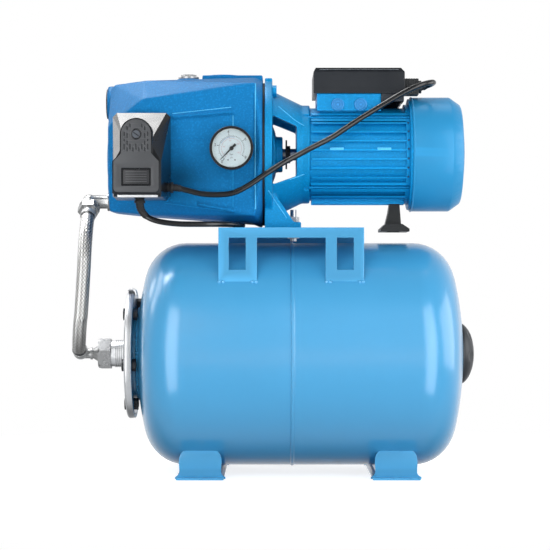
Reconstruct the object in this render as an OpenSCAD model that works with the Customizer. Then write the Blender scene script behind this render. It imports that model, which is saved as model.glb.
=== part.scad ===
// Booster pump set: a self-priming jet pump and its motor on a horizontal pressure tank.
// Millimetres. The floor is z = 0, with the origin at the middle of the four floor holes.
// X runs along the shaft, from the suction end to the fan end. The gauge faces -Y.

/* [Tank] */
// Outer radius of the tank
tank_r = 140; // [130:1:150]
// Length of the tank's straight part between its domed ends
tank_straight = 285; // [270:1:320]
// Sheet thickness of the tank
tank_wall = 1.6; // [1.2:0.1:2.5]
// Gap between the tank and the floor
ground_gap = 10; // [4:1:25]
// Crown radius of a domed end
crown_r = 420; // [380:5:460]
// Knuckle radius of a domed end
knuckle_r = 52; // [44:1:60]
// Offset of the tank's middle from the feet's middle
tank_shift = 2.8; // [-10:0.1:10]
// Place of the girth weld along X
weld_x = -7; // [-40:1:40]
// Outer radius of the tank's neck
neck_r = 56.5; // [54.5:0.5:58]
// Radius of the flange that closes the neck
flange_r = 81; // [80:0.5:90]
// Radius of the circle that the flange bolts sit on
flange_bolt_r = 66; // [65.5:0.5:68]
// Number of flange bolts
flange_bolts_n = 6; // [4:1:8]
// Radius of the cover over the air valve
valve_cap_r = 38.5; // [34:0.5:44]

/* [Feet] */
// Distance between the feet along X
foot_spacing = 239.6; // [200:1:260]
// Width of a foot at the floor
foot_w = 58; // [50:1:70]
// Half length of a foot's channel across the tank
foot_half = 78; // [74:1:84]
// Sheet thickness of the feet
foot_sheet = 2.5; // [2:0.1:3.5]
// Distance between the floor holes across the tank
floor_hole_span = 171; // [170:1:176]
// Radius of a floor hole
floor_hole_r = 3.5; // [2.5:0.1:4]

/* [Pump bracket] */
// Length of the bracket along X
bracket_len = 176; // [166:1:186]
// Width of the bracket across the tank
bracket_w = 212; // [204:1:218]
// Height of the bracket's top over the tank's top
bracket_rise = 17; // [15:1:22]
// Sheet thickness of the bracket
bracket_sheet = 3; // [2.5:0.1:4]
// Width of one bracket leg
leg_w = 46.5; // [42:0.5:52]
// Width of a window in a leg
window_w = 20.5; // [16:0.5:24]
// Height of a window in a leg
window_h = 38.5; // [30:0.5:40]

/* [Pump] */
// Height of the shaft over the bracket
shaft_rise = 95; // [94.5:0.5:100]
// Place of the joint between gasket and lantern along X
pump_x = -41; // [-44:1:-38]
// Radius of the flanges
pump_flange_r = 92.5; // [92:0.5:94]
// Length of the casing
casing_len = 191; // [184:1:198]
// Gasket thickness
gasket_t = 2.6; // [1:0.1:3]
// Length of the lantern bracket
lantern_len = 56.4; // [54:0.5:60]
// Radius of the threaded suction and delivery bores
port_r = 15.1; // [13:0.1:17]
// Height of the suction port over the shaft
suction_rise = 64; // [62:0.5:66]
// Height of the hose port under the shaft
hose_port_drop = 60; // [58:0.5:61]
// Impeller radius
impeller_r = 54; // [48:0.5:56]
// Radius of the circle that the casing bolts sit on
casing_bolt_r = 84.5; // [84:0.1:85]

/* [Motor] */
// Radius over the cooling fins
fin_r = 64; // [60:0.5:66]
// Height of a cooling fin
fin_h = 5.5; // [4:0.5:7]
// Length of the finned housing
stator_len = 123.6; // [118:0.2:130]
// Thickness of a fin
fin_t = 2.2; // [1.6:0.1:3]
// Distance between two fins
fin_pitch = 11.3; // [9:0.1:13]
// Gap in radius between the fins and the fan cover's outside
cover_gap = 8; // [6:0.5:12]
// Length of the fan cover
fan_cover_len = 67; // [62:0.5:74]
// Radius of the shaft in its bearings
shaft_r = 8.5; // [7.5:0.1:9]
// Running clearance between shaft and bearings
running_gap = 0.04; // [0.02:0.01:0.08]

/* [Controls] */
// Radius of the gauge
gauge_r = 26.5; // [24:0.5:30]
// Depth of the gauge case
gauge_depth = 20; // [18:0.5:24]
// Width of the switch cover
switch_w = 70; // [64:1:76]
// Height of the switch cover
switch_h = 106; // [100:1:112]
// Depth of the switch cover
switch_depth = 58; // [52:1:64]

/* [Cables and hose] */
// Diameter of the braided hose
hose_d = 17; // [15:0.5:18]
// Diameter of the cables
cable_d = 6.8; // [6:0.1:7]

/* [Hidden] */

$fn = 64;
tiny = 0.05;      // gap between pieces that are pressed together
eps = 1;          // how far a cut runs past a face

// Heights and stations that the pieces share
tank_z = ground_gap + tank_r;
head_left = tank_shift - tank_straight / 2;
head_right = tank_shift + tank_straight / 2;
knuckle_c = tank_r - knuckle_r;
crown_drop = sqrt(pow(crown_r - knuckle_r, 2) - pow(knuckle_c, 2));
head_angle = asin(knuckle_c / (crown_r - knuckle_r));
head_depth = crown_r - crown_drop;
neck_wall = 3.5;
ring_t = 2.5;
ring_r = 76;
rim_t = 2;
plate_t = 2.5;
neck_out = head_depth - crown_r + sqrt(pow(crown_r, 2) - pow(neck_r, 2)) + 8.3;
ring_x = head_left - neck_out;            // outer face of the tank's own ring
plate_x = ring_x - rim_t;                 // inner face of the closing flange
plate_out = plate_x - plate_t;
flange_lip = 2.6;
bracket_z = tank_z + tank_r + bracket_rise;
bracket_x = -8.7;
shaft_z = bracket_z + shaft_rise;

casing_x1 = pump_x - gasket_t;            // casing face on the gasket
casing_x0 = casing_x1 - casing_len;       // suction end
flange_t = 11;
lantern_flange_t = 9.4;
lantern_x1 = pump_x + lantern_len;        // motor end of the lantern
shield_t = 17;
motor_r = fin_r - fin_h;
core_r = motor_r - 7;
shield_r = fin_r - 2;
fan_cover_r = fin_r + cover_gap;
stator_x1 = lantern_x1 + stator_len;
fan_cover_x0 = stator_x1 + 3;
fan_cover_x1 = fan_cover_x0 + fan_cover_len;
cover_wall = 1.8;
suction_z = shaft_z + suction_rise;
hose_port_z = shaft_z - hose_port_drop;
delivery_x = casing_x1 - 50;
delivery_z = shaft_z + 99;
cavity_r = 50;
chamber_r = 70;
chamber_x = casing_x1 - 66;
front_y = 80;                             // casing front at its wide end
gauge_x = casing_x1 - 37.4;
gauge_boss_y = -(front_y + 4.5);
gauge_face_y = gauge_boss_y - gauge_depth;
switch_x = casing_x0 + 44.6;
switch_z = shaft_z - 9;
switch_back_y = -90;
bearing_r = 20;
bearing_w = 12;
foot_bolt_x = pump_x + 36;
bolt_turn = 25;                           // casing bolts from the vertical
casing_bolt_d = 8;

function arc(cx, cy, r, a0, a1, n) =
    [for (i = [0 : n]) let (a = a0 + (a1 - a0) * i / n) [cx + r * cos(a), cy + r * sin(a)]];

// Outline of a domed end, from its cylinder to the radius r_end, inset by t
function head(t, r_end, n = 8) = concat(
    arc(knuckle_c, 0, knuckle_r - t, 0, 90 - head_angle, n),
    arc(0, -crown_drop, crown_r - t, 90 - head_angle + 2, acos(r_end / (crown_r - t)), n));

// Distance of the dome's outer face past its tangent line, at radius r near the middle
function dome_at(r) = sqrt(pow(crown_r, 2) - pow(r, 2)) - crown_drop;

module along_x(x, z = 0, y = 0) { translate([x, y, z]) rotate([0, 90, 0]) children(); }
module xcyl(x0, x1, r, z = 0, y = 0) { along_x(x0, z, y) cylinder(h = x1 - x0, r = r); }
module xcone(x0, x1, r0, r1, z = 0, y = 0) { along_x(x0, z, y) cylinder(h = x1 - x0, r1 = r0, r2 = r1); }
module xhex(x0, x1, flats, z = 0, y = 0, turn = 0) {
    along_x(x0, z, y) rotate([0, 0, turn]) cylinder(h = x1 - x0, r = flats / sqrt(3), $fn = 6);
}
module xtube(x0, x1, r, bore, z = 0, y = 0) {
    difference() {
        xcyl(x0, x1, r, z, y);
        xcyl(x0 - eps, x1 + eps, bore, z, y);
    }
}
// A cylinder along Y from y0 to y1, with y0 < y1
module ycyl(y0, y1, r, x, z) { translate([x, y1, z]) rotate([90, 0, 0]) cylinder(h = y1 - y0, r = r); }
module box(x0, x1, y0, y1, z0, z1) { translate([x0, y0, z0]) cube([x1 - x0, y1 - y0, z1 - z0]); }
// An outline in X and Z, pushed along Y from y0 to y1
module xz_plate(y0, y1) { translate([0, y1, 0]) rotate([90, 0, 0]) linear_extrude(y1 - y0) children(); }
// An outline in Y and Z, pushed along X from x0
module yz_plate(x0, t) { translate([x0, 0, 0]) rotate([90, 0, 90]) linear_extrude(t) children(); }
// Copies of a child on a circle about the shaft or the tank
module ring_x(n, r, z, first = 0) {
    for (i = [0 : n - 1]) let (a = first + i * 360 / n)
        translate([0, -r * sin(a), z + r * cos(a)]) children();
}

// Swept tube: a smooth line through the points, with a ring of points round each of its places
function spline(p, i, t) =
    let (a = p[max(i - 1, 0)], b = p[i], c = p[i + 1], d = p[min(i + 2, len(p) - 1)])
    0.5 * (2 * b + (c - a) * t + (2 * a - 5 * b + 4 * c - d) * t * t + (3 * b - a - 3 * c + d) * t * t * t);
function smooth_line(p, n) = concat(
    [for (i = [0 : len(p) - 2]) for (k = [0 : n - 1]) spline(p, i, k / n)], [p[len(p) - 1]]);
function unit(v) = v / norm(v);
function tangent(l, i) = unit(l[min(i + 1, len(l) - 1)] - l[max(i - 1, 0)]);
// Side vector carried along the line without twisting
function carried(l, i, v) =
    let (t = tangent(l, i), w = unit(v - (v * t) * t))
    i == len(l) - 1 ? [w] : concat([w], carried(l, i + 1, w));
module swept(p, d, n, sides = 10, side = [0, 0, 1]) {
    l = smooth_line(p, n);
    c = carried(l, 0, side);
    rings = [for (i = [0 : len(l) - 1]) let (t = tangent(l, i), u = c[i], v = cross(t, u))
        for (k = [0 : sides - 1]) l[i] + d / 2 * (cos(360 * k / sides) * u + sin(360 * k / sides) * v)];
    last = (len(l) - 1) * sides;
    walls = [for (i = [0 : len(l) - 2]) for (k = [0 : sides - 1])
        let (a = i * sides + k, b = i * sides + (k + 1) % sides)
        each [[a, b, b + sides], [a, b + sides, a + sides]]];
    polyhedron(rings, concat(walls,
        [[for (k = [sides - 1 : -1 : 0]) k]], [[for (k = [0 : sides - 1]) last + k]]));
}

// Tank

module head_shell(len, r_end) {
    rotate_extrude() polygon(concat([[tank_r, -len]], head(0, r_end),
        [for (i = [len(head(tank_wall, r_end)) - 1 : -1 : 0]) head(tank_wall, r_end)[i]],
        [[tank_r - tank_wall, -len]]));
}

seam_half = 2.5;

module tank_shell_left() {
    seat = dome_at(neck_r) - tank_wall / 2;
    color("#5aaee4") difference() {
        union() {
            translate([head_left, 0, tank_z]) rotate([0, -90, 0])
                head_shell(weld_x - seam_half - head_left, neck_r - neck_wall / 2);
            xcyl(ring_x, head_left - seat, neck_r, tank_z);
            xcyl(ring_x, ring_x + ring_t, ring_r - 0.6, tank_z);
        }
        xcyl(ring_x - eps, head_left - seat + 3, neck_r - neck_wall, tank_z);
        ring_x(flange_bolts_n, flange_bolt_r, tank_z, 40) xcyl(ring_x - eps, ring_x + ring_t + eps, 4.3);
    }
}

module tank_shell_right() {
    color("#5aaee4") difference() {
        union() {
            translate([head_right, 0, tank_z]) rotate([0, 90, 0])
                head_shell(head_right - weld_x - seam_half, valve_boss_r - 2);
            // The girth weld's bead laps the left shell's edge
            translate([weld_x, 0, tank_z]) rotate([0, 90, 0]) rotate_extrude()
                polygon([[tank_r - tank_wall, -seam_half], [tank_r, -seam_half], [tank_r + 1.2, -1.2],
                    [tank_r + 1.2, 1.2], [tank_r, seam_half], [tank_r - tank_wall, seam_half]]);
        }
        xcyl(head_right, head_right + head_depth + 9, valve_boss_r - 2, tank_z);
    }
}

// A pressed foot: a channel with sloping sides, cut to the tank, with lips on the floor
module foot(x) {
    top = 36;
    slope = 7;
    lip = 14;
    inner = foot_w / 2 - 6.5;
    outline = [[-foot_w / 2, 0], [foot_w / 2, 0], [foot_w / 2, foot_sheet], [inner, foot_sheet + 1.5],
        [inner - slope + 3, top - 6], [inner - slope, top - 1.5], [inner - slope - 4, top],
        [-inner + slope + 4, top], [-inner + slope, top - 1.5], [-inner + slope - 3, top - 6],
        [-inner, foot_sheet + 1.5], [-foot_w / 2, foot_sheet]];
    hollow = [[-inner + foot_sheet, -eps], [inner - foot_sheet, -eps],
        [inner - slope - foot_sheet + 1, top - foot_sheet],
        [-inner + slope + foot_sheet - 1, top - foot_sheet]];
    color("#5aaee4") translate([x, 0, 0]) difference() {
        union() {
            xz_plate(-foot_half, foot_half) polygon(outline);
            for (side = [-1, 1]) translate([0, side * (foot_half + lip / 2 - 0.5), foot_sheet / 2])
                cube([foot_w, lip + 1, foot_sheet], center = true);
        }
        xz_plate(-foot_half + foot_sheet, foot_half - foot_sheet) polygon(hollow);
        translate([-x, 0, 0]) xcyl(x - foot_w, x + foot_w, tank_r, tank_z);
        for (side = [-1, 1]) translate([0, side * floor_hole_span / 2, -eps])
            cylinder(h = foot_sheet + 2 * eps, r = floor_hole_r);
    }
}
module left_foot() { foot(-foot_spacing / 2); }
module right_foot() { foot(foot_spacing / 2); }

// Sheet bracket: a top with two cheeks, cut to the tank, with an arch and two windows in each
module pump_bracket() {
    bar = 12.5;
    rear_bar = 17;
    x0 = bracket_x - bracket_len / 2;
    x1 = bracket_x + bracket_len / 2;
    half = bracket_w / 2;
    arch = bracket_len / 2 - leg_w;
    low = tank_z + 60;
    color("#5aaee4") difference() {
        box(x0, x1, -half, half, low, bracket_z);
        box(x0 - eps, x1 + eps, -half + bracket_sheet, half - bracket_sheet, low - eps,
            bracket_z - bracket_sheet);
        box(bracket_x - arch, bracket_x + arch, -half - eps, 0, low - eps, bracket_z - bar);
        box(bracket_x - arch, bracket_x + arch, -eps, half + eps, low - eps, bracket_z - rear_bar);
        for (side = [-1, 1]) let (mid = bracket_x + side * (bracket_len / 2 - leg_w / 2 + 0.5))
            translate([mid, 0, bracket_z - bar - window_h]) {
                box(-window_w / 2, window_w / 2, -half - eps, 0, 0, window_h);
                box(-window_w / 2, window_w / 2, 0, half + eps, 0, window_h - rear_bar + bar);
            }
        xcyl(x0 - eps, x1 + eps, tank_r, tank_z);
        translate([foot_bolt_x, 0, bracket_z - bracket_sheet - eps])
            cylinder(h = bracket_sheet + 2 * eps, r = 4.4);
    }
}

// The rubber bladder, clamped by its rim between the tank's ring and the flange
module tank_bladder() {
    mouth = neck_r - neck_wall - 1.2;
    t = 2.5;
    r = tank_r - 22;
    rim = 60;
    u0 = ring_x - rim_t;
    shoulder = head_left + 18;
    far = head_right + 14;
    color("#2b2b2b") along_x(0, tank_z) rotate_extrude() polygon([
        [mouth - t, u0], [rim, u0], [rim, ring_x], [mouth, ring_x], [mouth, head_left - 30],
        [r * 0.72, shoulder - 34], [r * 0.9, shoulder - 18], [r, shoulder + 14], [r, far - 44],
        [r * 0.88, far - 14], [r * 0.6, far], [20, far + 6], [20, far + 6 - t], [r * 0.6 - 1, far - t],
        [r * 0.88 - t, far - 14 - t], [r - t, far - 45], [r - t, shoulder + 15], [r * 0.9 - t, shoulder - 17],
        [r * 0.72 - t, shoulder - 32], [mouth - t, head_left - 28]]);
}

// The pressed flange that closes the neck, with its rolled rim and threaded centre
module tank_flange() {
    hole = nipple_r;
    color("#c9ccce") difference() {
        along_x(0, tank_z) rotate_extrude() polygon(concat(
            [[hole, plate_out - 4], [32, plate_out - 4], [40, plate_out], [flange_r - 5, plate_out]],
            arc(flange_r - flange_lip, plate_out + 1, flange_lip + 0.6, 250, 360, 6),
            [[flange_r, ring_x + ring_t], [ring_r, ring_x + ring_t], [ring_r, plate_x],
                [41, plate_x], [33, plate_x - 4], [hole, plate_x - 4]]));
        ring_x(flange_bolts_n, flange_bolt_r, tank_z, 40) xcyl(plate_out - eps, plate_x + eps, 4.3);
    }
}

module flange_fasteners() {
    grip = ring_x + ring_t;
    color("#8e9296") ring_x(flange_bolts_n, flange_bolt_r, tank_z, 40) {
        xcyl(plate_out - 1, grip + 5.5, 4);
        xhex(plate_out - 5.5, plate_out, 13);
        xhex(grip, grip + 5, 13);
    }
}

valve_boss_r = 14;
valve_x = head_right + head_depth;      // the right dome's tip
valve_stem_r = 4.2;
pin_r = 1.2;
pin_gap = 0.1;

module air_valve_body() {
    color("#b08d4a") difference() {
        union() {
            xcyl(valve_x - 5, valve_x + 2.5, valve_boss_r - 2 - tiny, tank_z);
            xhex(valve_x + 2.5, valve_x + 6, 12, tank_z);
            xcyl(valve_x + 2.5, valve_x + 10, valve_stem_r, tank_z);
        }
        xcyl(valve_x - 5 - eps, valve_x + 10 + eps, pin_r + pin_gap, tank_z);
    }
}
module air_valve_pin() {
    color("#d8c070") {
        xcyl(valve_x - 9, valve_x + 9.6, pin_r, tank_z);
        xcyl(valve_x - 7.5, valve_x - 5.1, 3, tank_z);
    }
}
// The black cover, a shallow dome with finger dimples round its edge
module air_valve_cap() {
    seat = head_right + dome_at(valve_cap_r) + 0.4;
    depth = 16.5;
    wall = 2.2;
    dimple_r = 9;
    color("#2c2d2f") difference() {
        along_x(seat, tank_z) rotate_extrude() polygon(concat(
            [[valve_cap_r - wall, 0], [valve_cap_r, 0]],
            arc(valve_cap_r - 8, depth - 9.5, 8, 0, 78, 6),
            [[0, depth], [0, depth - wall], [valve_cap_r - 10, depth - wall - 1],
                [valve_cap_r - wall - 0.6, depth - 8.5]]));
        ring_x(6, valve_cap_r + 4.2, tank_z, 30) xcyl(seat + 5, seat + depth + eps, dimple_r - 3);
    }
    color("#2c2d2f") xtube(valve_x + 2.8, seat + depth - wall + 0.3, 8.6, 7.2, tank_z);
}

// Pipework between the tank and the pump

nipple_r = 16.4;
tail_x = ring_x - 66.5;
tail_r = 6.2;
tail_len = 9.9;
tail_lift = 15;           // the tail's elbow leans up from level by this much
nut_x0 = plate_out - 40;
nut_x1 = nut_x0 + 16;
elbow_x = casing_x0 - 28.4;
// Middle line of the braided hose, from its lower ferrule to its upper nut
hose_route = [
    [tail_x, -9.7, tank_z + 2.6], [tail_x, -16.4, tank_z + 4.4], [tail_x, -23.2, tank_z + 6.2],
    [tail_x + 0.5, -34.6, tank_z + 11.3], [tail_x + 1.9, -45, tank_z + 19.4],
    [tail_x + 3.3, -52.9, tank_z + 30], [tail_x + 4.7, -58, tank_z + 42.5],
    [tail_x + 6.1, -59.8, tank_z + 54.1], [elbow_x - 1.2, -58.5, hose_port_z - 85.6],
    [elbow_x - 0.6, -56.8, hose_port_z - 69.3], [elbow_x - 0.2, -51.7, hose_port_z - 53.8],
    [elbow_x, -43.6, hose_port_z - 39.6], [elbow_x, -33.3, hose_port_z - 28],
    [elbow_x, -25.3, hose_port_z - 21.2], [elbow_x, -20.7, hose_port_z - 17.4]];
elbow_tilt = 50;          // lean of the upper nut toward the viewer, from straight down
nipple_end = nut_x0 + 6;

module tank_nipple() {
    color("#b9bcbf") difference() {
        union() {
            xcyl(nipple_end, plate_x + 4, nipple_r - tiny, tank_z);
            for (i = [0 : 5]) xtube(plate_out - 7 - 2.4 * i, plate_out - 5.8 - 2.4 * i, nipple_r + 0.8,
                nipple_r - 1, tank_z);
        }
        xcyl(nipple_end - eps, plate_x + 4 + eps, 12, tank_z);
    }
}
module union_nut() {
    color("#a9acaf") difference() {
        intersection() {
            xhex(nut_x0, nut_x1, 35, tank_z, 0, 17);
            xcone(nut_x0, nut_x0 + 40, 18.3, 40, tank_z);
        }
        xcyl(nipple_end - 2.1, nut_x1 + eps, nipple_r + 0.85, tank_z);
        xcyl(nut_x0 - eps, nut_x1, 10.4, tank_z);
    }
}
// Thin tail: a collar in the nut, a taper, and an elbow toward the viewer
module hose_tail() {
    color("#a9acaf") difference() {
        union() {
            xcyl(nut_x0 - 0.5, nipple_end - 2, 10.3, tank_z);
            xcyl(nipple_end - 2, nipple_end, nipple_r, tank_z);
            xcone(nut_x0 - 7, nut_x0 - 0.4, tail_r, 10.3, tank_z);
            xcyl(nut_x0 - 10.5, nut_x0 - 8, 7.6, tank_z);
            xcyl(tail_x, nut_x0 - 6, tail_r, tank_z);
            translate([tail_x, 0, tank_z]) sphere(r = tail_r + 0.8);
            tail_axis() cylinder(h = tail_len, r = tail_r);
        }
        xcyl(tail_x, nipple_end + eps, 4, tank_z);
        tail_axis() translate([0, 0, -0.5]) cylinder(h = tail_len + eps, r = 4);
    }
}
module braided_hose() {
    color("#a7abad") swept(hose_route, hose_d, 3, 12);
}
// The tail elbow's own frame: +Z runs from its corner along the hose
module tail_axis() {
    translate([tail_x, 0, tank_z]) rotate([90 - tail_lift, 0, 0]) children();
}
// Crimped sleeves over the two ends of the hose
module hose_ferrules() {
    bore = hose_d / 2 + 0.15;
    outer = hose_d / 2 + 1.1;
    color("#c3c6c8") {
        tail_axis() difference() {
            translate([0, 0, 8.5]) cylinder(h = 16, r = outer);
            translate([0, 0, 10]) cylinder(h = 16, r = bore);
            translate([0, 0, 8]) cylinder(h = 3, r = tail_r + tiny);
        }
        upper_axis() difference() {
            translate([0, 0, 16]) cylinder(h = 14, r = outer);
            translate([0, 0, 16 - eps]) cylinder(h = 16, r = bore);
        }
    }
}
// The upper nut's own frame: +Z runs from the elbow's corner along the hose
module upper_axis() {
    translate([elbow_x, 0, hose_port_z]) rotate([180 - elbow_tilt, 0, 0]) children();
}
module hose_upper_nut() {
    color("#b4b7ba") upper_axis() difference() {
        union() {
            translate([0, 0, 9]) cylinder(h = 2, r = 12.6);
            translate([0, 0, 10.5]) cylinder(h = 10, r = 24 / sqrt(3), $fn = 6);
        }
        translate([0, 0, 8]) cylinder(h = 8.5, r = pipe_r + tiny);
        translate([0, 0, 15]) cylinder(h = 6, r = hose_d / 2 + 1.15);
    }
}
pipe_r = 8.5;
module outlet_elbow() {
    color("#bcbfc1") difference() {
        union() {
            xcyl(elbow_x, casing_x0 + 16, pipe_r, hose_port_z);
            translate([elbow_x, 0, hose_port_z]) sphere(r = pipe_r + 0.9);
            upper_axis() cylinder(h = 15.5, r = pipe_r);
            xcyl(casing_x0 - 5.5, casing_x0 - 3, 11.5, hose_port_z);
        }
        xcyl(elbow_x, casing_x0 + 16 + eps, 5.6, hose_port_z);
        upper_axis() translate([0, 0, -0.5]) cylinder(h = 17, r = 5.6);
    }
}

// Pump

// Cross-section of the casing, as an eight-sided outline about the shaft
function casing_section(top, front, bottom, lower) = [
    [-top[0], top[1]], [-front[0], front[1]], [-front[0], -lower], [-bottom[0], -bottom[1]],
    [bottom[0], -bottom[1]], [front[0], -lower], [front[0], front[1]], [top[0], top[1]]];
section_end = casing_section([14, 81], [60, 30], [38, 73], 44);
section_top = casing_section([16, 87], [64, 34], [40, 74], 46);
section_knee = casing_section([40, 89.5], [71, 63], [44, 78], 56);
section_last = casing_section([38, 93.5], [front_y, 82.5], [44, 88], 80);

// Body of the casing, then its flare into the round flange
module casing_body() {
    last_x = casing_x1 - flange_t;
    hull() {
        yz_plate(casing_x0, 1) translate([0, shaft_z]) polygon(section_end);
        yz_plate(casing_x0 + 5, 1) translate([0, shaft_z]) polygon(section_top);
        yz_plate(casing_x0 + 44, 1) translate([0, shaft_z]) polygon(section_knee);
        yz_plate(last_x, 1) translate([0, shaft_z]) polygon(section_last);
    }
    hull() {
        yz_plate(last_x, 1) translate([0, shaft_z]) polygon(section_last);
        xcyl(casing_x1 - 3, casing_x1, pump_flange_r, shaft_z);
    }
}
module casing_rib(z, rise, x0, x1, y0, y1, t) {
    // A slanting rib on the sloping front, kept flush with it at its left end
    for (side = [-1, 1]) hull() {
        translate([x0, side * y0 - 4, z - rise]) cube([1, 8, t]);
        translate([x1 - 1, side * y1 - 4, z]) cube([1, 8, t]);
    }
}
module pump_casing() {
    pad = 22;
    color("#2f86c8") difference() {
        union() {
            casing_body();
            xcyl(casing_x0 - 3, casing_x0 + 10, 38, shaft_z - 8);
            box(delivery_x - 26, casing_x1, -pad, pad, shaft_z + 60, delivery_z - 0.5);
            translate([delivery_x, 0, shaft_z + 70]) cylinder(h = delivery_z - shaft_z - 70, r = 24);
            xcyl(casing_x0 - 4.4, casing_x0 + 30, 22.5, suction_z);
            xcyl(casing_x0 - 3, casing_x0 + 30, 12.6, hose_port_z);
            ycyl(gauge_boss_y, -60, 13, gauge_x, gauge_z);
            ycyl(switch_back_y + 5, -50, 15, switch_x, switch_z - 6);
            translate([plug_x, 0, shaft_z + 60]) cylinder(h = plug_seat - shaft_z - 60, r = 16);
            casing_rib(shaft_z + 45, 6, casing_x0 + 79, casing_x1 - 35, 73.2, front_y - 2.2, 4);
            casing_rib(shaft_z - 76, -8, casing_x0 + 112, casing_x1 - 35, 75.2, front_y - 2.2, 4);
        }
        // Impeller chamber and the water space before it
        xcyl(chamber_x, casing_x1 + eps, chamber_r, shaft_z);
        xcyl(casing_x0 + 12, chamber_x + eps, cavity_r, shaft_z);
        // Suction port, with its way down to the water space
        xcyl(casing_x0 - 4.4 - eps, casing_x0 + 24, port_r, suction_z);
        translate([casing_x0 + 24, 0, shaft_z]) cylinder(h = suction_rise, r = 13);
        // Delivery port on top, and the priming port
        translate([delivery_x, 0, shaft_z + 60]) cylinder(h = delivery_z - shaft_z - 60 + eps, r = port_r);
        translate([plug_x, 0, shaft_z + 40]) cylinder(h = plug_seat - shaft_z, r = plug_r);
        // Hose port
        xcyl(casing_x0 - 3 - eps, casing_x0 + 17, pipe_r + tiny, hose_port_z);
        translate([casing_x0 + 20, 0, hose_port_z]) cylinder(h = 30, r = 6);
        xcyl(casing_x0 + 16, casing_x0 + 20, 6, hose_port_z);
        // Gauge and switch sockets
        ycyl(gauge_boss_y - eps, -60, socket_r + tiny, gauge_x, gauge_z);
        ycyl(switch_back_y + 5 - eps, -45, socket_r + tiny, switch_x, switch_z - 6);
        casing_bolt_places() xcyl(casing_x1 - 24, casing_x1 + eps, casing_bolt_d / 2 + tiny);
    }
}
socket_r = 6.5;
plug_x = casing_x1 - 94;
plug_r = 9;
plug_seat = shaft_z + 95.5;
module casing_bolt_places() {
    for (a = [bolt_turn, -bolt_turn, 180 - bolt_turn, 180 + bolt_turn])
        translate([0, -casing_bolt_r * sin(a), shaft_z + casing_bolt_r * cos(a)]) children();
}
// Flat seal ring round the open suction port
module suction_seal() {
    color("#1d1e20") xtube(casing_x0 - 6.1, casing_x0 - 4.4, 18.7, port_r + 0.4, suction_z);
}
module priming_plug() {
    color("#d9dcde") {
        translate([plug_x, 0, plug_seat - 12]) cylinder(h = 12.5, r = plug_r - tiny);
        translate([plug_x, 0, plug_seat]) cylinder(h = 2.5, r = 13);
        translate([plug_x, 0, plug_seat + 2.4]) cylinder(h = 3, r = 17 / sqrt(3), $fn = 6);
    }
}
// Nozzle and venturi tube in one moulding, from the suction end to the impeller's eye
module ejector() {
    x0 = casing_x0 + 12;
    color("#34373a") difference() {
        union() {
            xcyl(x0, x0 + 6, 24, shaft_z);
            xcone(x0 + 5, x0 + 38, 13, 7, shaft_z);
            xcyl(x0 + 52, chamber_x + 1, 12, shaft_z);
            xcyl(chamber_x - 6, chamber_x + 6, cavity_r - tiny, shaft_z);
            for (side = [-1, 1]) translate([0, side * 8.5, shaft_z]) box(x0 + 3, x0 + 56, -1.5, 1.5, -2, 2);
        }
        xcyl(x0 - eps, x0 + 39, 3.4, shaft_z);
        xcone(x0 + 52 - eps, chamber_x + 7, 6.5, 10.5, shaft_z);
        ring_x(6, 34, shaft_z, 30) xcyl(chamber_x - 8, chamber_x + 8, 7);
    }
}
// Front plate with guide vanes round the impeller
module diffuser() {
    x0 = casing_x1 - 54;
    color("#3a3d40") difference() {
        union() {
            xcyl(x0, x0 + 5, chamber_r - 0.4, shaft_z);
            xtube(x0 + 4, x0 + 26, chamber_r - 0.4, impeller_r + 8, shaft_z);
            ring_x(6, impeller_r + 6, shaft_z, 15) xcyl(x0 + 4, x0 + 24, 4.6);
            xtube(chamber_x + 6, x0 + 1, 16, 12, shaft_z);
        }
        xcyl(x0 - eps, x0 + 6, 14, shaft_z);
        xcyl(x0 + 5, x0 + 27, impeller_r + 1.2, shaft_z);
        // The water's way out to the delivery port
        translate([delivery_x, 0, shaft_z + impeller_r + 2]) cylinder(h = chamber_r, r = port_r + 1);
    }
}
module casing_gasket() {
    color("#17252f") difference() {
        xcyl(casing_x1, pump_x, pump_flange_r - 2.5, shaft_z);
        xcyl(casing_x1 - eps, pump_x + eps, chamber_r, shaft_z);
        casing_bolt_places() xcyl(casing_x1 - eps, pump_x + eps, 4.2);
    }
}
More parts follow.
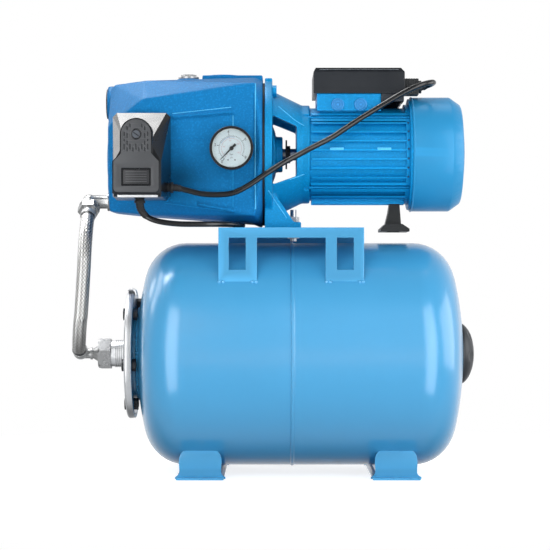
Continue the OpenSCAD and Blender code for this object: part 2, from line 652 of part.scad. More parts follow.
// Cast lantern: flange and seal plate, a cone with two windows, the motor's front shield, the foot
module lantern_bracket() {
    wall = 8;
    flange_x1 = pump_x + lantern_flange_t;
    cone_x1 = lantern_x1 - 10;
    win_x0 = flange_x1;
    win_x1 = lantern_x1 - shield_t;
    foot_x1 = pump_x + 45;
    foot_t = 8;
    web_y = 60;
    color("#2f86c8") difference() {
        union() {
            xcyl(pump_x, flange_x1, pump_flange_r, shaft_z);
            xcone(flange_x1 - 1, cone_x1, 80.5, shield_r, shaft_z);
            xcyl(lantern_x1 - shield_t, lantern_x1, shield_r, shaft_z);
            box(pump_x, flange_x1, -20, 20, shaft_z + 70, delivery_z - 4);
            // Foot plate and two triangular webs
            box(pump_x, foot_x1, -web_y, web_y, bracket_z, bracket_z + foot_t);
            for (side = [-1, 1]) let (y = side * (web_y - 4))
                xz_plate(y - 4, y + 4) polygon([[pump_x, bracket_z], [foot_x1 - 9, bracket_z],
                    [foot_x1 - 9, bracket_z + foot_t], [pump_x + lantern_flange_t, shaft_z - 47],
                    [pump_x, shaft_z - 47]]);
        }
        // The cone is hollow between the seal plate and the motor shield
        difference() {
            xcone(flange_x1, win_x1, 72, 56, shaft_z);
            xcone(flange_x1 - eps, flange_x1 + 4, 40, 27, shaft_z);
            xcyl(flange_x1 - eps, flange_x1 + 13, 22.5, shaft_z);
        }
        // Windows through both sides
        xz_plate(-pump_flange_r - eps, -24) translate([0, shaft_z])
            polygon([[win_x0, 44], [win_x1, 31], [win_x1, -30], [win_x0, -41]]);
        xz_plate(24, pump_flange_r + eps) translate([0, shaft_z])
            polygon([[win_x0, 44], [win_x1, 31], [win_x1, -30], [win_x0, -41]]);
        // Shaft, seal seat and front bearing
        xcyl(pump_x - eps, lantern_x1 + eps, 11, shaft_z);
        xcyl(pump_x - eps, pump_x + 7, seat_r, shaft_z);
        xcyl(lantern_x1 - bearing_w, lantern_x1 + eps, bearing_r, shaft_z);
        casing_bolt_places() xcyl(pump_x - eps, flange_x1 + eps, 4.2);
        casing_bolt_places() xcyl(flange_x1, lantern_x1, 8.6);
        translate([foot_bolt_x, 0, bracket_z - eps]) cylinder(h = foot_t + 2 * eps, r = 4.4);
        tie_rod_places() xcyl(lantern_x1 - 8, lantern_x1 + eps, 2.6);
    }
}
// Bolts from the lantern's side into the casing
module casing_bolts() {
    color("#3b4146") casing_bolt_places() {
        xcyl(casing_x1 - 22, pump_x + lantern_flange_t + 1, casing_bolt_d / 2);
        xhex(pump_x + lantern_flange_t, pump_x + lantern_flange_t + 5.3, 13);
    }
}
// Long bolt through the foot and the bracket, with a washer and nut on each side
module foot_bolt() {
    seat = bracket_z + 8;
    under = bracket_z - bracket_sheet;
    color("#c2c5c8") translate([foot_bolt_x, 0, 0]) {
        translate([0, 0, under - 12]) cylinder(h = seat + 17 - under + 12, r = 4);
        translate([0, 0, seat]) cylinder(h = 1.6, r = 8.5);
        translate([0, 0, seat + 1.5]) cylinder(h = 6.6, r = 13 / sqrt(3), $fn = 6);
        translate([0, 0, under - 1.6]) cylinder(h = 1.6, r = 8.5);
        translate([0, 0, under - 8]) cylinder(h = 6.6, r = 13 / sqrt(3), $fn = 6);
    }
}
seat_r = 16;
module seal_seat() {
    color("#d8d4c8") xtube(pump_x + 0.5, pump_x + 7, seat_r - tiny, 9.4, shaft_z);
}

// Rotor: everything that turns with the shaft
impeller_x0 = casing_x1 - 47;
impeller_w = 20;
fan_x = stator_x1 + 24;
module pump_shaft() {
    color("#c8cacc") {
        xcyl(impeller_x0 - 4, pump_x + 1, 7, shaft_z);
        xcyl(pump_x, lantern_x1 - bearing_w - 2, 7.5, shaft_z);
        xcyl(lantern_x1 - bearing_w - 2.1, fan_x + 22, shaft_r, shaft_z);
        xhex(impeller_x0 - 3.5, impeller_x0, 19, shaft_z);
    }
}
// Closed impeller: two plates with curved vanes between them and an eye at the front
module impeller() {
    vane_r = 30;
    color("#b98f45") difference() {
        union() {
            xcyl(impeller_x0 + 12, impeller_x0 + 15, impeller_r, shaft_z);
            xcyl(impeller_x0 + 0.2, impeller_x0 + 20, 13, shaft_z);
            xtube(impeller_x0 + 3, impeller_x0 + 5.5, impeller_r, 17.5, shaft_z);
            intersection() {
                xtube(impeller_x0 + 5, impeller_x0 + 12.5, impeller_r, 19, shaft_z);
                for (i = [0 : 5]) translate([0, 0, shaft_z]) rotate([60 * i, 0, 0])
                    xtube(impeller_x0 + 5, impeller_x0 + 12.5, vane_r, vane_r - 2.2, 0, vane_r - 3);
            }
        }
        xcyl(impeller_x0 - eps, impeller_x0 + 21, 7 + tiny, shaft_z);
    }
}
module seal_head() {
    x0 = impeller_x0 + impeller_w + 0.4;
    color("#55595c") {
        xtube(x0 + 14, pump_x + 0.3, 13.5, 8, shaft_z);
        xtube(x0, x0 + 3, 14, 7 + tiny, shaft_z);
        xtube(x0 + 3, x0 + 14.2, 11.2, 7 + tiny, shaft_z);
        for (i = [0 : 3]) xtube(x0 + 4.2 + 2.6 * i, x0 + 5.6 + 2.6 * i, 13, 11, shaft_z);
    }
}
module slinger() {
    x0 = pump_x + 26;
    color("#202224") {
        xtube(x0, x0 + 2, 18.4, 7.5 + tiny, shaft_z);
        xtube(x0 + 2, x0 + 6, 11, 7.5 + tiny, shaft_z);
    }
}
module rotor_core() {
    color("#8c9094") {
        xtube(pack_x0, pack_x1, rotor_r, shaft_r + tiny, shaft_z);
        for (x = [pack_x0 - 6, pack_x1]) xtube(x, x + 6, rotor_r - 1.6, 17, shaft_z);
    }
}
module cooling_fan() {
    color("#26282a") {
        xtube(fan_x, fan_x + 18, 15, shaft_r + tiny, shaft_z);
        xtube(fan_x, fan_x + 3, 56, 14, shaft_z);
        for (i = [0 : 7]) translate([fan_x + 2, 0, shaft_z]) rotate([45 * i + 10, 0, 0])
            translate([0, -1.2, 14]) cube([15, 2.4, 41]);
    }
}

// Motor

module shaft_bearings() {
    color("#9a9da0") for (x = [lantern_x1 - bearing_w, stator_x1]) {
        difference() {
            xcyl(x, x + bearing_w, bearing_r - tiny, shaft_z);
            xcyl(x - eps, x + bearing_w + eps, shaft_r + running_gap, shaft_z);
            for (face = [x - eps, x + bearing_w - 1]) xtube(face, face + 1 + eps, 16.5, 12, shaft_z);
        }
    }
}
rod_r = 2;
// The laminated stack: its ends along X, the width of the coil ends, and the rotor's radius
pack_x0 = lantern_x1 + 25;
pack_x1 = stator_x1 - 25.6;
coil_w = 19;
rotor_r = 27.6;
rod_circle_r = fin_r - 4.5;
module tie_rod_places() {
    for (a = [43, 137, 223, 317])
        translate([0, -rod_circle_r * sin(a), shaft_z + rod_circle_r * cos(a)]) children();
}
// Finned housing: level fins, as a two-part mould leaves them, and a channel for each tie rod
module motor_housing() {
    fins_x1 = stator_x1 - 4.5;
    rod_z = rod_circle_r * cos(43);
    rod_y = rod_circle_r * sin(43);
    color("#2b80c6") difference() {
        union() {
            xcyl(lantern_x1, stator_x1, motor_r, shaft_z);
            xcyl(fins_x1 - 0.5, stator_x1, fin_r - 1, shaft_z);
            intersection() {
                xcyl(lantern_x1, fins_x1, fin_r, shaft_z);
                union() {
                    for (k = [-5, -3, -2, -1, 0, 1, 2, 3]) let (z = shaft_z + 1.7 + k * fin_pitch)
                        box(lantern_x1 + 2, fins_x1, -fin_r, fin_r, z - fin_t / 2, z + fin_t / 2);
                    for (side = [-1, 1]) box(lantern_x1 + 1, fins_x1, -fin_r, fin_r,
                        shaft_z + side * rod_z - 5.5, shaft_z + side * rod_z + 5.5);
                    // Seat of the terminal box
                    box(lantern_x1 + 12, lantern_x1 + 82, -34, 34, shaft_z + 40, shaft_z + fin_r);
                }
            }
            // Three fins under the barrel, and small lugs between two fins at the sides
            for (y = [-12, 0, 12]) box(lantern_x1 + 2, fins_x1, y - fin_t / 2, y + fin_t / 2,
                shaft_z - sqrt(pow(fin_r, 2) - pow(y, 2)), shaft_z - motor_r + 4);
            for (side = [-1, 1]) for (x = [lantern_x1 + 24, lantern_x1 + 82.5])
                translate([x, side * (fin_r - 3.3), shaft_z]) box(0, 17, -3, 3, 1, 4.6);
        }
        xcyl(lantern_x1 - eps, stator_x1 + eps, core_r, shaft_z);
        tie_rod_places() xcyl(lantern_x1 - eps, stator_x1 + eps, rod_r + 0.6);
        for (side = [-1, 1]) for (end = [-1, 1]) let (mid = rod_y + fin_r / 2)
            translate([0, side * mid, shaft_z + end * rod_z])
                box(lantern_x1 - eps, stator_x1 + eps, -fin_r / 2, fin_r / 2, -rod_r - 0.2, rod_r + 0.2);
    }
}
// Laminated stack with the varnished coil ends standing out on both sides
module wound_stator() {
    color("#a3552b") {
        xtube(pack_x0, pack_x1, core_r - tiny, rotor_r + 0.6, shaft_z);
        xtube(pack_x0 - coil_w, pack_x0 + 1, core_r - 4, rotor_r + 3.4, shaft_z);
        xtube(pack_x1 - 1, pack_x1 + coil_w, core_r - 4, rotor_r + 3.4, shaft_z);
    }
}
module rear_end_shield() {
    color("#2b80c6") difference() {
        union() {
            xcyl(stator_x1, stator_x1 + 6, fan_cover_r - cover_wall - tiny, shaft_z);
            xcyl(stator_x1 + 5, stator_x1 + bearing_w + 4, bearing_r + 6, shaft_z);
        }
        xcyl(stator_x1 - eps, stator_x1 + bearing_w, bearing_r, shaft_z);
        xcyl(stator_x1, stator_x1 + bearing_w + 5, shaft_r + 2, shaft_z);
        tie_rod_places() xcyl(stator_x1 - eps, stator_x1 + 7, rod_r + 0.6);
    }
}
module tie_rods() {
    color("#9da1a5") tie_rod_places() {
        xcyl(lantern_x1 - 8, stator_x1 + 8, rod_r);
        xhex(stator_x1 + 6, stator_x1 + 10, 7);
    }
}
// Fan cover: a round cap with a tapered corner, a domed back and rings of slots in it
module fan_cover() {
    len = fan_cover_len;
    inner = fan_cover_r - cover_wall;
    color("#4096d6") difference() {
        along_x(fan_cover_x0, shaft_z) rotate_extrude() polygon([
            [inner, 0], [fan_cover_r, 0], [fan_cover_r, len - 19], [fan_cover_r - 0.6, len - 17],
            [fan_cover_r - 9, len - 5.2], [fan_cover_r - 11, len - 4], [fan_cover_r - 36, len - 0.8],
            [0, len],
            [0, len - cover_wall], [inner - 34, len - 0.8 - cover_wall],
            [inner - 10.4, len - 4 - cover_wall],
            [inner - 0.8, len - 17], [inner, len - 19.4]]);
        for (row = [[22, 8], [36, 14], [50, 20]]) ring_slots(row[0], row[1]);
    }
}
module ring_slots(r, n) {
    for (i = [0 : n - 1]) translate([fan_cover_x1 - 8, 0, shaft_z]) rotate([i * 360 / n, 0, 0])
        translate([0, -2, r - 5]) cube([9, 4, 10]);
}
box_x0 = lantern_x1 + 8.4;
box_x1 = box_x0 + 79.5;
box_half = 45;
box_z0 = shaft_z + 51.5;
box_z1 = shaft_z + 73;
lid_x0 = box_x0 - 4.3;
lid_x1 = box_x0 + 109;
lid_z1 = shaft_z + 105;
plug_places = [[box_x0 + 25.8, shaft_z + 59], [box_x0 + 54.3, shaft_z + 59]];
module terminal_box() {
    wall = 3;
    color("#3a8fd2") difference() {
        box(box_x0, box_x1, -box_half, box_half, box_z0, box_z1);
        box(box_x0 + wall, box_x1 - wall, -box_half + wall, box_half - wall, shaft_z + fin_r + 3,
            box_z1 + eps);
        xcyl(box_x0 - eps, box_x1 + eps, fin_r + tiny, shaft_z);
        for (p = plug_places) ycyl(-box_half - eps, -box_half + 7, 6, p[0], p[1]);
    }
}
// Black lid: a roof with chamfered edges, and a deeper part over the capacitor
module terminal_box_lid() {
    wall = 2;
    half = box_half + 2.5;
    module roof(t) hull() {
        box(lid_x0 + t, lid_x1 - t, -half + t, half - t, box_z1 + (t > 0 ? 1.5 : 0), lid_z1 - 5.5 - t);
        box(lid_x0 + t + 2.5, lid_x1 - t - 4.5, -half + t + 3, half - t - 3, lid_z1 - 6.5, lid_z1 - t);
    }
    color("#2d3033") difference() {
        union() {
            roof(0);
            box(box_x1 + 0.4, lid_x1 - 1, -half + 1, half - 1, box_z1 - 10, box_z1 + 1);
        }
        roof(wall);
        box(box_x0 + 3, box_x1 - 3, -box_half + 3, box_half - 3, box_z1 - eps, box_z1 + 2);
        box(box_x1 + wall + 0.4, lid_x1 - 1 - wall, -half + 1 + wall, half - 1 - wall, box_z1 - 12,
            box_z1 + 2);
        xcyl(box_x1 - eps, lid_x1 + eps, fin_r + tiny, shaft_z);
    }
}
module capacitor() {
    r = 14;
    color("#e4e4e0") xcyl(box_x0 + 10, box_x0 + 66, r, shaft_z + fin_r + 3 + r, 14);
}
module box_plugs() {
    color("#3f86bf") for (p = plug_places) {
        ycyl(-box_half - 2.2, -box_half, 8, p[0], p[1]);
        ycyl(-box_half - 0.5, -box_half + 6, 6 - tiny, p[0], p[1]);
    }
}
gland_y = -25;
gland_z = shaft_z + 83;
module motor_cable_gland() {
    color("#303336") difference() {
        union() {
            box(lid_x1, lid_x1 + 18, gland_y - 11, gland_y + 11, gland_z - 10.5, gland_z + 9.5);
            xcyl(lid_x1 + 17, lid_x1 + 22, 8, gland_z, gland_y);
        }
        xcyl(lid_x1 + 12, lid_x1 + 23, cable_d / 2 + tiny, gland_z, gland_y);
    }
}
// Plastic foot under the rear of the motor: a leaning post on a flared sole
module motor_foot() {
    mid = stator_x1 - 17;
    low = bracket_z - 3;
    top = shaft_z - fin_r + 3;
    color("#303336") difference() {
        union() {
            xz_plate(-12, 12) translate([mid, 0]) polygon([[-13, low + 7], [-11, low + 10], [-7.5, low + 24],
                [-5.5, top], [6.5, top], [7.5, low + 24], [8.6, low + 10], [12, low + 7]]);
            xz_plate(-30, 30) translate([mid, low]) polygon([[-18, 0], [18, 0], [18, 3.5], [9, 9.5],
                [-11.5, 9.5], [-18, 3.5]]);
        }
        xcyl(mid - 20, mid + 20, fin_r + tiny, shaft_z);
        xz_plate(-26, 26) translate([mid, low]) polygon([[-10, -eps], [10, -eps], [6, 5], [-6, 5]]);
    }
}

// Gauge

gauge_z = shaft_z + 1;
dial_y = gauge_face_y + 8;
pointer_r = 1.2;
// Case and bezel are one moulding, with a bored post that carries the dial and the pointer
module gauge_case() {
    wall = 1.6;
    bezel_t = 1.2;
    color("#1f2022") difference() {
        union() {
            ycyl(gauge_face_y, gauge_boss_y, gauge_r - 1, gauge_x, gauge_z);
            ycyl(gauge_face_y - bezel_t, gauge_face_y + 3.4, gauge_r, gauge_x, gauge_z);
            ycyl(gauge_boss_y - 1, gauge_boss_y + 10, socket_r, gauge_x, gauge_z);
        }
        difference() {
            ycyl(gauge_face_y, gauge_boss_y - wall, gauge_r - 1 - wall, gauge_x, gauge_z);
            ycyl(dial_y + 1, gauge_boss_y, 5, gauge_x, gauge_z);
        }
        ycyl(gauge_face_y - bezel_t - eps, gauge_face_y + eps, gauge_r - 3.2, gauge_x, gauge_z);
        ycyl(dial_y, dial_y + 7, pointer_r + running_gap, gauge_x, gauge_z);
    }
}
module gauge_dial() {
    color("#f2f2ee") difference() {
        ycyl(dial_y, dial_y + 1, gauge_r - 2.6 - tiny, gauge_x, gauge_z);
        ycyl(dial_y - eps, dial_y + 1 + eps, 1.5, gauge_x, gauge_z);
    }
}
// Pointer at rest: it points down and to the left
module gauge_pointer() {
    color("#1a1a1a") {
        ycyl(dial_y - 2.4, dial_y + 6.5, pointer_r, gauge_x, gauge_z);
        ycyl(dial_y - 2.4, dial_y - 0.6, 2.6, gauge_x, gauge_z);
        translate([gauge_x, 0, gauge_z]) rotate([0, -135, 0]) xz_plate(dial_y - 2, dial_y - 1)
            polygon([[-1.6, -7], [1.6, -7], [0.8, 4], [0.25, 19.5], [-0.25, 19.5], [-0.8, 4]]);
    }
}
module gauge_lens() {
    color("#dfe8ee") ycyl(gauge_face_y + tiny, gauge_face_y + 1.6, gauge_r - 2.6 - tiny, gauge_x, gauge_z);
}

// Pressure switch

switch_front_y = switch_back_y - switch_depth;
module switch_base() {
    half_w = switch_w / 2 - 2.4;
    half_h = switch_h / 2 - 2.4;
    color("#3a3c3f") translate([switch_x, 0, switch_z]) {
        box(-half_w, half_w, switch_back_y - 5, switch_back_y - 0.5, -half_h, half_h);
        ycyl(switch_back_y - 1, switch_back_y + 5, 28, 0, -6);
    }
    color("#b9bcbf") ycyl(switch_back_y + 4, switch_back_y + 24, socket_r, switch_x, switch_z - 6);
}
function switch_outline(w, top, low, c) = [[-w + c, -low], [w - c, -low], [w, -low + c], [w, top - c],
    [w - c, top], [-w + c, top], [-w, top - c], [-w, -low + c]];
module switch_shell(t) {
    half_w = switch_w / 2 - t;
    half_h = switch_h / 2 - t;
    hull() {
        xz_plate(switch_back_y - 6, switch_back_y) translate([switch_x, switch_z])
            polygon(switch_outline(half_w, half_h, half_h, 5));
        xz_plate(switch_front_y + t, switch_front_y + 8) translate([switch_x - 1, switch_z])
            polygon([[-28 + t, -half_h + 2], [28 - t, -half_h + 2], [28 - t, -9], [15 - t, 14],
                [-15 + t, 14], [-28 + t, -9]]);
    }
}
// Raised panel on the front: an arch that widens to a plain lower field
module switch_panel(grow, y0, y1) {
    r = 19.2 + grow;
    xz_plate(y0, y1) translate([switch_x - 2.5, switch_z]) union() {
        translate([0, 23]) circle(r = r);
        polygon([[-r, 23], [r, 23], [r, 0], [r + 9, -9], [r + 9, -switch_h / 2 + 6 - grow],
            [-r - 9, -switch_h / 2 + 6 - grow], [-r - 9, -9], [-r, 0]]);
    }
}
module switch_cover() {
    color("#35383c") difference() {
        union() {
            switch_shell(0);
            switch_panel(0, switch_front_y - 2, switch_front_y + 40);
        }
        switch_shell(2);
        box(switch_x - switch_w / 2 + 2.2, switch_x + switch_w / 2 - 2.2, switch_back_y - 6,
            switch_back_y + eps, switch_z - switch_h / 2 + 2.2, switch_z + switch_h / 2 - 2.2);
        // Recessed field, the screw's seat and the ways in for the cables
        box(switch_x - 20, switch_x + 15, switch_front_y - 3, switch_front_y - 1, switch_z - 38,
            switch_z - 17);
        ycyl(switch_front_y - 3, switch_front_y - 0.6, 5.2, screw_x, screw_z);
        ycyl(switch_front_y - 3, switch_front_y + 24, 2.6, screw_x, screw_z);
        xcyl(switch_x, switch_x + switch_w, gland_r, side_gland[2], side_gland[1]);
        translate([bottom_gland[0], bottom_gland[1], switch_z - switch_h])
            cylinder(h = switch_h, r = gland_r);
    }
}
screw_x = switch_x - 2.5;
screw_z = switch_z + 23;
gland_r = 5.4;
side_gland = [switch_x + switch_w / 2, switch_back_y - 18, switch_z - 38];
bottom_gland = [switch_x - 1, switch_back_y - 22, switch_z - switch_h / 2];
module cover_screw() {
    color("#4a4d50") difference() {
        union() {
            ycyl(switch_front_y - 2.6, switch_front_y - 0.6, 4.6, screw_x, screw_z);
            ycyl(switch_front_y - 1, switch_back_y - 5, 2, screw_x, screw_z);
        }
        translate([screw_x, switch_front_y - 2.6, screw_z]) rotate([0, 35, 0])
            cube([8, 1.4, 1.2], center = true);
    }
}
// Moulded block with the contacts and terminals
module switch_contacts() {
    color("#8a4a2f") translate([switch_x, switch_back_y - 5, switch_z]) {
        box(-22, 22, -18, 0, 5.5, 14.5);
        for (x = [-16, -5.5, 5.5, 16]) box(x - 3.5, x + 3.5, -22, -17, 6.5, 13.5);
    }
}
// Pressure lever: its hinge is at the top, and pressure lifts its lower end off the base
module switch_lever() {
    color("#a8acb0") translate([switch_x, switch_back_y - 5, switch_z]) {
        xcyl(-20, 20, 2.5, 2, -6);
        difference() {
            box(-16, 16, -7.5, -5.5, -34, 2);
            ycyl(-6.5, -4, 5, 0, -16);
        }
        ycyl(-30, -7.4, 6.4, 0, -16);
    }
}
module switch_glands() {
    color("#26282a") {
        difference() {
            union() {
                xcyl(side_gland[0] - 7, side_gland[0] + 4, gland_r - tiny, side_gland[2], side_gland[1]);
                xcyl(side_gland[0] + 1, side_gland[0] + 4, gland_r + 1.2, side_gland[2], side_gland[1]);
            }
            xcyl(side_gland[0] - 8, side_gland[0] + 5, cable_d / 2 + tiny, side_gland[2], side_gland[1]);
        }
        translate(bottom_gland) difference() {
            union() {
                translate([0, 0, -4]) cylinder(h = 10, r = gland_r - tiny);
                translate([0, 0, -4]) cylinder(h = 3, r = gland_r + 1.2);
            }
            translate([0, 0, -5]) cylinder(h = 12, r = cable_d / 2 + tiny);
        }
    }
}

// Cables. The points are chosen by hand and stay as they are
link_route = [
    [-157, -108, shaft_z - 47], [-147, -108, shaft_z - 47.4], [-134, -107.5, shaft_z - 50.5],
    [-117, -106.5, shaft_z - 54.5], [-96, -105, shaft_z - 55.5], [-78, -103.5, shaft_z - 53],
    [-60, -102, shaft_z - 44], [-40, -100, shaft_z - 30.5], [-20, -97, shaft_z - 17.5],
    [1, -90, shaft_z - 6], [18, -82, shaft_z + 3.5], [42, -75, shaft_z + 16.5],
    [70, -68, shaft_z + 35.5], [96, -63.5, shaft_z + 52], [120, -63.5, shaft_z + 66.5],
    [138, -63.5, shaft_z + 76.3], [150, -62, shaft_z + 81.2], [159.5, -58.5, shaft_z + 84.3],
    [165.8, -52, shaft_z + 86], [168.6, -43.5, shaft_z + 86.6], [167.4, -35, shaft_z + 86],
    [163, -28.2, shaft_z + 84.6], [157.5, -25.5, shaft_z + 83.3], [152, -25, shaft_z + 83],
    [146, -25, shaft_z + 83]];
mains_drop = [
    [-191, -112, bracket_z + 38], [-191, -112, bracket_z + 29], [-189.5, -112, bracket_z + 21.5],
    [-184.5, -112.5, bracket_z + 14.5], [-176, -113, bracket_z + 9.4], [-163, -112.5, bracket_z + 6],
    [-144, -110.5, bracket_z + 4], [-122, -107, bracket_z + 3.8], [-104, -102.5, bracket_z + 4],
    [-88, -94.5, bracket_z + 4.1], [-76, -82, bracket_z + 4], [-69.5, -66, bracket_z + 4],
    [-68.5, -46, bracket_z + 4], [-71, -10, bracket_z + 4], [-73, 35, bracket_z + 4],
    [-72.5, 70, bracket_z + 4], [-72.5, 88, bracket_z + 4], [-73, 100.5, bracket_z + 4.2],
    [-73.8, 110.6, bracket_z + 2.4], [-74.7, 119, bracket_z - 2.6], [-75.7, 125.2, bracket_z - 9.8],
    [-76.6, 128.6, tank_z + 138.5], [-78, 130, tank_z + 125], [-80, 130.2, tank_z + 102],
    [-82, 132, tank_z + 80], [-84, 137.5, tank_z + 55], [-85.2, 143, tank_z + 30],
    [-86, 146, tank_z + 0], [-86, 147, tank_z - 40], [-85.5, 147.5, 70],
    [-84, 148.5, 45], [-79, 150.5, 26], [-69.5, 154, 12.5],
    [-56, 159, 5.8], [-40, 163.2, 3.9], [-26, 165.5, 3.9]];
// The rest lies behind the tank as a round coil, two and a half turns on top of each other
coil_at = [-14, 128];
coil_r = 38;
coil_top = 24;
mains_end = [
    [-2, 92.2, 20.9], [-20, 90.2, 21.6], [-36, 91.5, 21.4], [-53, 97, 20.4], [-68, 105, 19.7],
    [-81, 110.6, 19.5], [-92, 112, 19.5], [-104, 112, 19.5]];
module link_cable() { color("#1c1d1f") swept(link_route, cable_d, 3, 8); }
module mains_cable() {
    color("#1c1d1f") {
        swept(mains_drop, cable_d, 2, 8);
        swept(mains_end, cable_d, 2, 8);
    }
}
module mains_coil() {
    color("#1c1d1f") translate([coil_at[0], coil_at[1], 0.5]) rotate_extrude()
        translate([coil_r - cable_d / 2, 0]) square([cable_d, coil_top - 0.5]);
}
// Round moulded plug with two pins, lying on the floor behind the tank
module mains_plug() {
    color("#1c1d1f") translate(mains_end[len(mains_end) - 1]) {
        difference() {
            union() {
                xcone(-16, 1, 9, 5.2);
                xcone(-38, -15.5, 18, 11);
                xcyl(-45, -37.5, 19.3);
            }
            xcyl(-4, 2, cable_d / 2 + tiny);
        }
        for (side = [-1, 1]) xcyl(-63, -44, 2.4, 0, side * 9.5);
    }
}

tank_shell_left();
tank_shell_right();
left_foot();
right_foot();
pump_bracket();
tank_bladder();
tank_flange();
flange_fasteners();
air_valve_body();
air_valve_pin();
air_valve_cap();
tank_nipple();
union_nut();
hose_tail();
braided_hose();
hose_ferrules();
hose_upper_nut();
outlet_elbow();
pump_casing();
suction_seal();
priming_plug();
ejector();
diffuser();
casing_gasket();
lantern_bracket();
casing_bolts();
foot_bolt();
seal_seat();
pump_shaft();
impeller();
seal_head();
slinger();
shaft_bearings();
motor_housing();
wound_stator();
rotor_core();
rear_end_shield();
tie_rods();
cooling_fan();
fan_cover();
terminal_box();
terminal_box_lid();
capacitor();
box_plugs();
motor_cable_gland();
motor_foot();
gauge_case();
gauge_dial();
gauge_pointer();
gauge_lens();
switch_base();
switch_cover();
cover_screw();
switch_contacts();
switch_lever();
switch_glands();
link_cable();
mains_cable();
mains_coil();
mains_plug();
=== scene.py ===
import bpy, bmesh
from math import cos, hypot, pi, radians, sin, sqrt, tau
from mathutils import Vector, Matrix


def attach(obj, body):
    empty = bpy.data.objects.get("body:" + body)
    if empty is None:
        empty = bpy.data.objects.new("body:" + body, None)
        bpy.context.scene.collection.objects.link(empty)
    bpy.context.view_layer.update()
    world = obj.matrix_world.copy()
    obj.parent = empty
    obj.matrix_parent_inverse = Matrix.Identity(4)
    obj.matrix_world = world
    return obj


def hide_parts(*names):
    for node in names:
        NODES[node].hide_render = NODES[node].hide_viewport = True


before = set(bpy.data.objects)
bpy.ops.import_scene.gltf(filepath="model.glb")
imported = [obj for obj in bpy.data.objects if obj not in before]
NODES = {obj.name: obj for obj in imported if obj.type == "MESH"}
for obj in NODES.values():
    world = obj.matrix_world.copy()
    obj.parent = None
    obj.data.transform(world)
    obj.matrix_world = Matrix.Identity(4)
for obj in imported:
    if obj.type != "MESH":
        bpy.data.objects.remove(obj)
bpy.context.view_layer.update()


MM = 0.001


def srgb(r, g, b):
    def lin(c):
        c /= 255
        return c / 12.92 if c <= 0.04045 else ((c + 0.055) / 1.055) ** 2.4
    return (lin(r), lin(g), lin(b), 1.0)


# Camera: level with the middle of the set, 2.2 m in front of the shaft's plane

CAMERA_AT = (-0.0283, -2.2, 0.2495)
LENS, SENSOR = 113.6, 36

scene = bpy.context.scene
cam = bpy.data.objects.new("camera", bpy.data.cameras.new("camera"))
scene.collection.objects.link(cam)
cam.location = CAMERA_AT
cam.rotation_euler = (radians(90), 0, 0)
cam.data.lens = LENS
cam.data.sensor_width = SENSOR
cam.data.clip_start = 0.05
scene.camera = cam
scene.view_settings.view_transform = "Standard"

# Mesh helpers. Smoothing angles are in degrees: edges sharper than that stay sharp

TUBE_SMOOTH = 50


def new_object(name, mesh, material, smooth):
    ob = bpy.data.objects.new(name, mesh)
    scene.collection.objects.link(ob)
    mesh.materials.append(material)
    if smooth is not None:
        shade(mesh, smooth)
    return ob


def shade(mesh, angle):
    bm = bmesh.new()
    bm.from_mesh(mesh)
    limit = radians(angle)
    for f in bm.faces:
        f.smooth = True
    for e in bm.edges:
        e.smooth = not (len(e.link_faces) == 2 and e.calc_face_angle(0) > limit)
    bm.to_mesh(mesh)
    bm.free()


def curve_mesh(curve):
    """The mesh that a curve or a text gives; the curve itself goes."""
    ob = bpy.data.objects.new(curve.name, curve)
    scene.collection.objects.link(ob)
    mesh = bpy.data.meshes.new_from_object(ob)
    bpy.data.objects.remove(ob)
    bpy.data.curves.remove(curve)
    return mesh


def spline(p, i, t):
    a, b, c, d = p[max(i - 1, 0)], p[i], p[i + 1], p[min(i + 2, len(p) - 1)]
    return 0.5 * (2 * b + (c - a) * t + (2 * a - 5 * b + 4 * c - d) * t * t
                  + (3 * b - a - 3 * c + d) * t * t * t)


def smooth_line(points, n):
    """A spline through points in millimetres, as points in metres, n to each span."""
    p = [Vector(q) * MM for q in points]
    return [spline(p, i, k / n) for i in range(len(p) - 1) for k in range(n)] + [p[-1]]


def circle(centre, u, v, r, n):
    return [centre + r * (cos(tau * k / n) * u + sin(tau * k / n) * v) for k in range(n)]


def tube(name, line, radius, sides, material, side=Vector((0, 0, 1))):
    """A swept tube with UVs: U round it, V along it in metres."""
    n = len(line)
    last = (n - 1) * sides
    verts, faces, along = [], [], []
    travel, u = 0.0, None
    for i, p in enumerate(line):
        t = (line[min(i + 1, n - 1)] - line[max(i - 1, 0)]).normalized()
        ref = side if u is None else u
        u = (ref - ref.dot(t) * t).normalized()
        r = radius(i / (n - 1)) if callable(radius) else radius
        verts += circle(p, u, t.cross(u), r, sides)
        if i:
            travel += (p - line[i - 1]).length
        along.append(travel)
    for i in range(n - 1):
        for k in range(sides):
            a, b = i * sides + k, i * sides + (k + 1) % sides
            faces.append((a, b, b + sides, a + sides))
    faces.append(tuple(range(sides - 1, -1, -1)))
    faces.append(tuple(last + k for k in range(sides)))
    mesh = bpy.data.meshes.new(name)
    mesh.from_pydata(verts, [], faces)
    uv = mesh.uv_layers.new(name="uv")
    for f in mesh.polygons[:last]:
        i, k = divmod(f.index, sides)
        for loop, (du, dv) in zip(f.loop_indices, ((0, 0), (1, 0), (1, 1), (0, 1))):
            uv.data[loop].uv = ((k + du) / sides, along[i + dv])
    return new_object(name, mesh, material, TUBE_SMOOTH)


# Material helpers

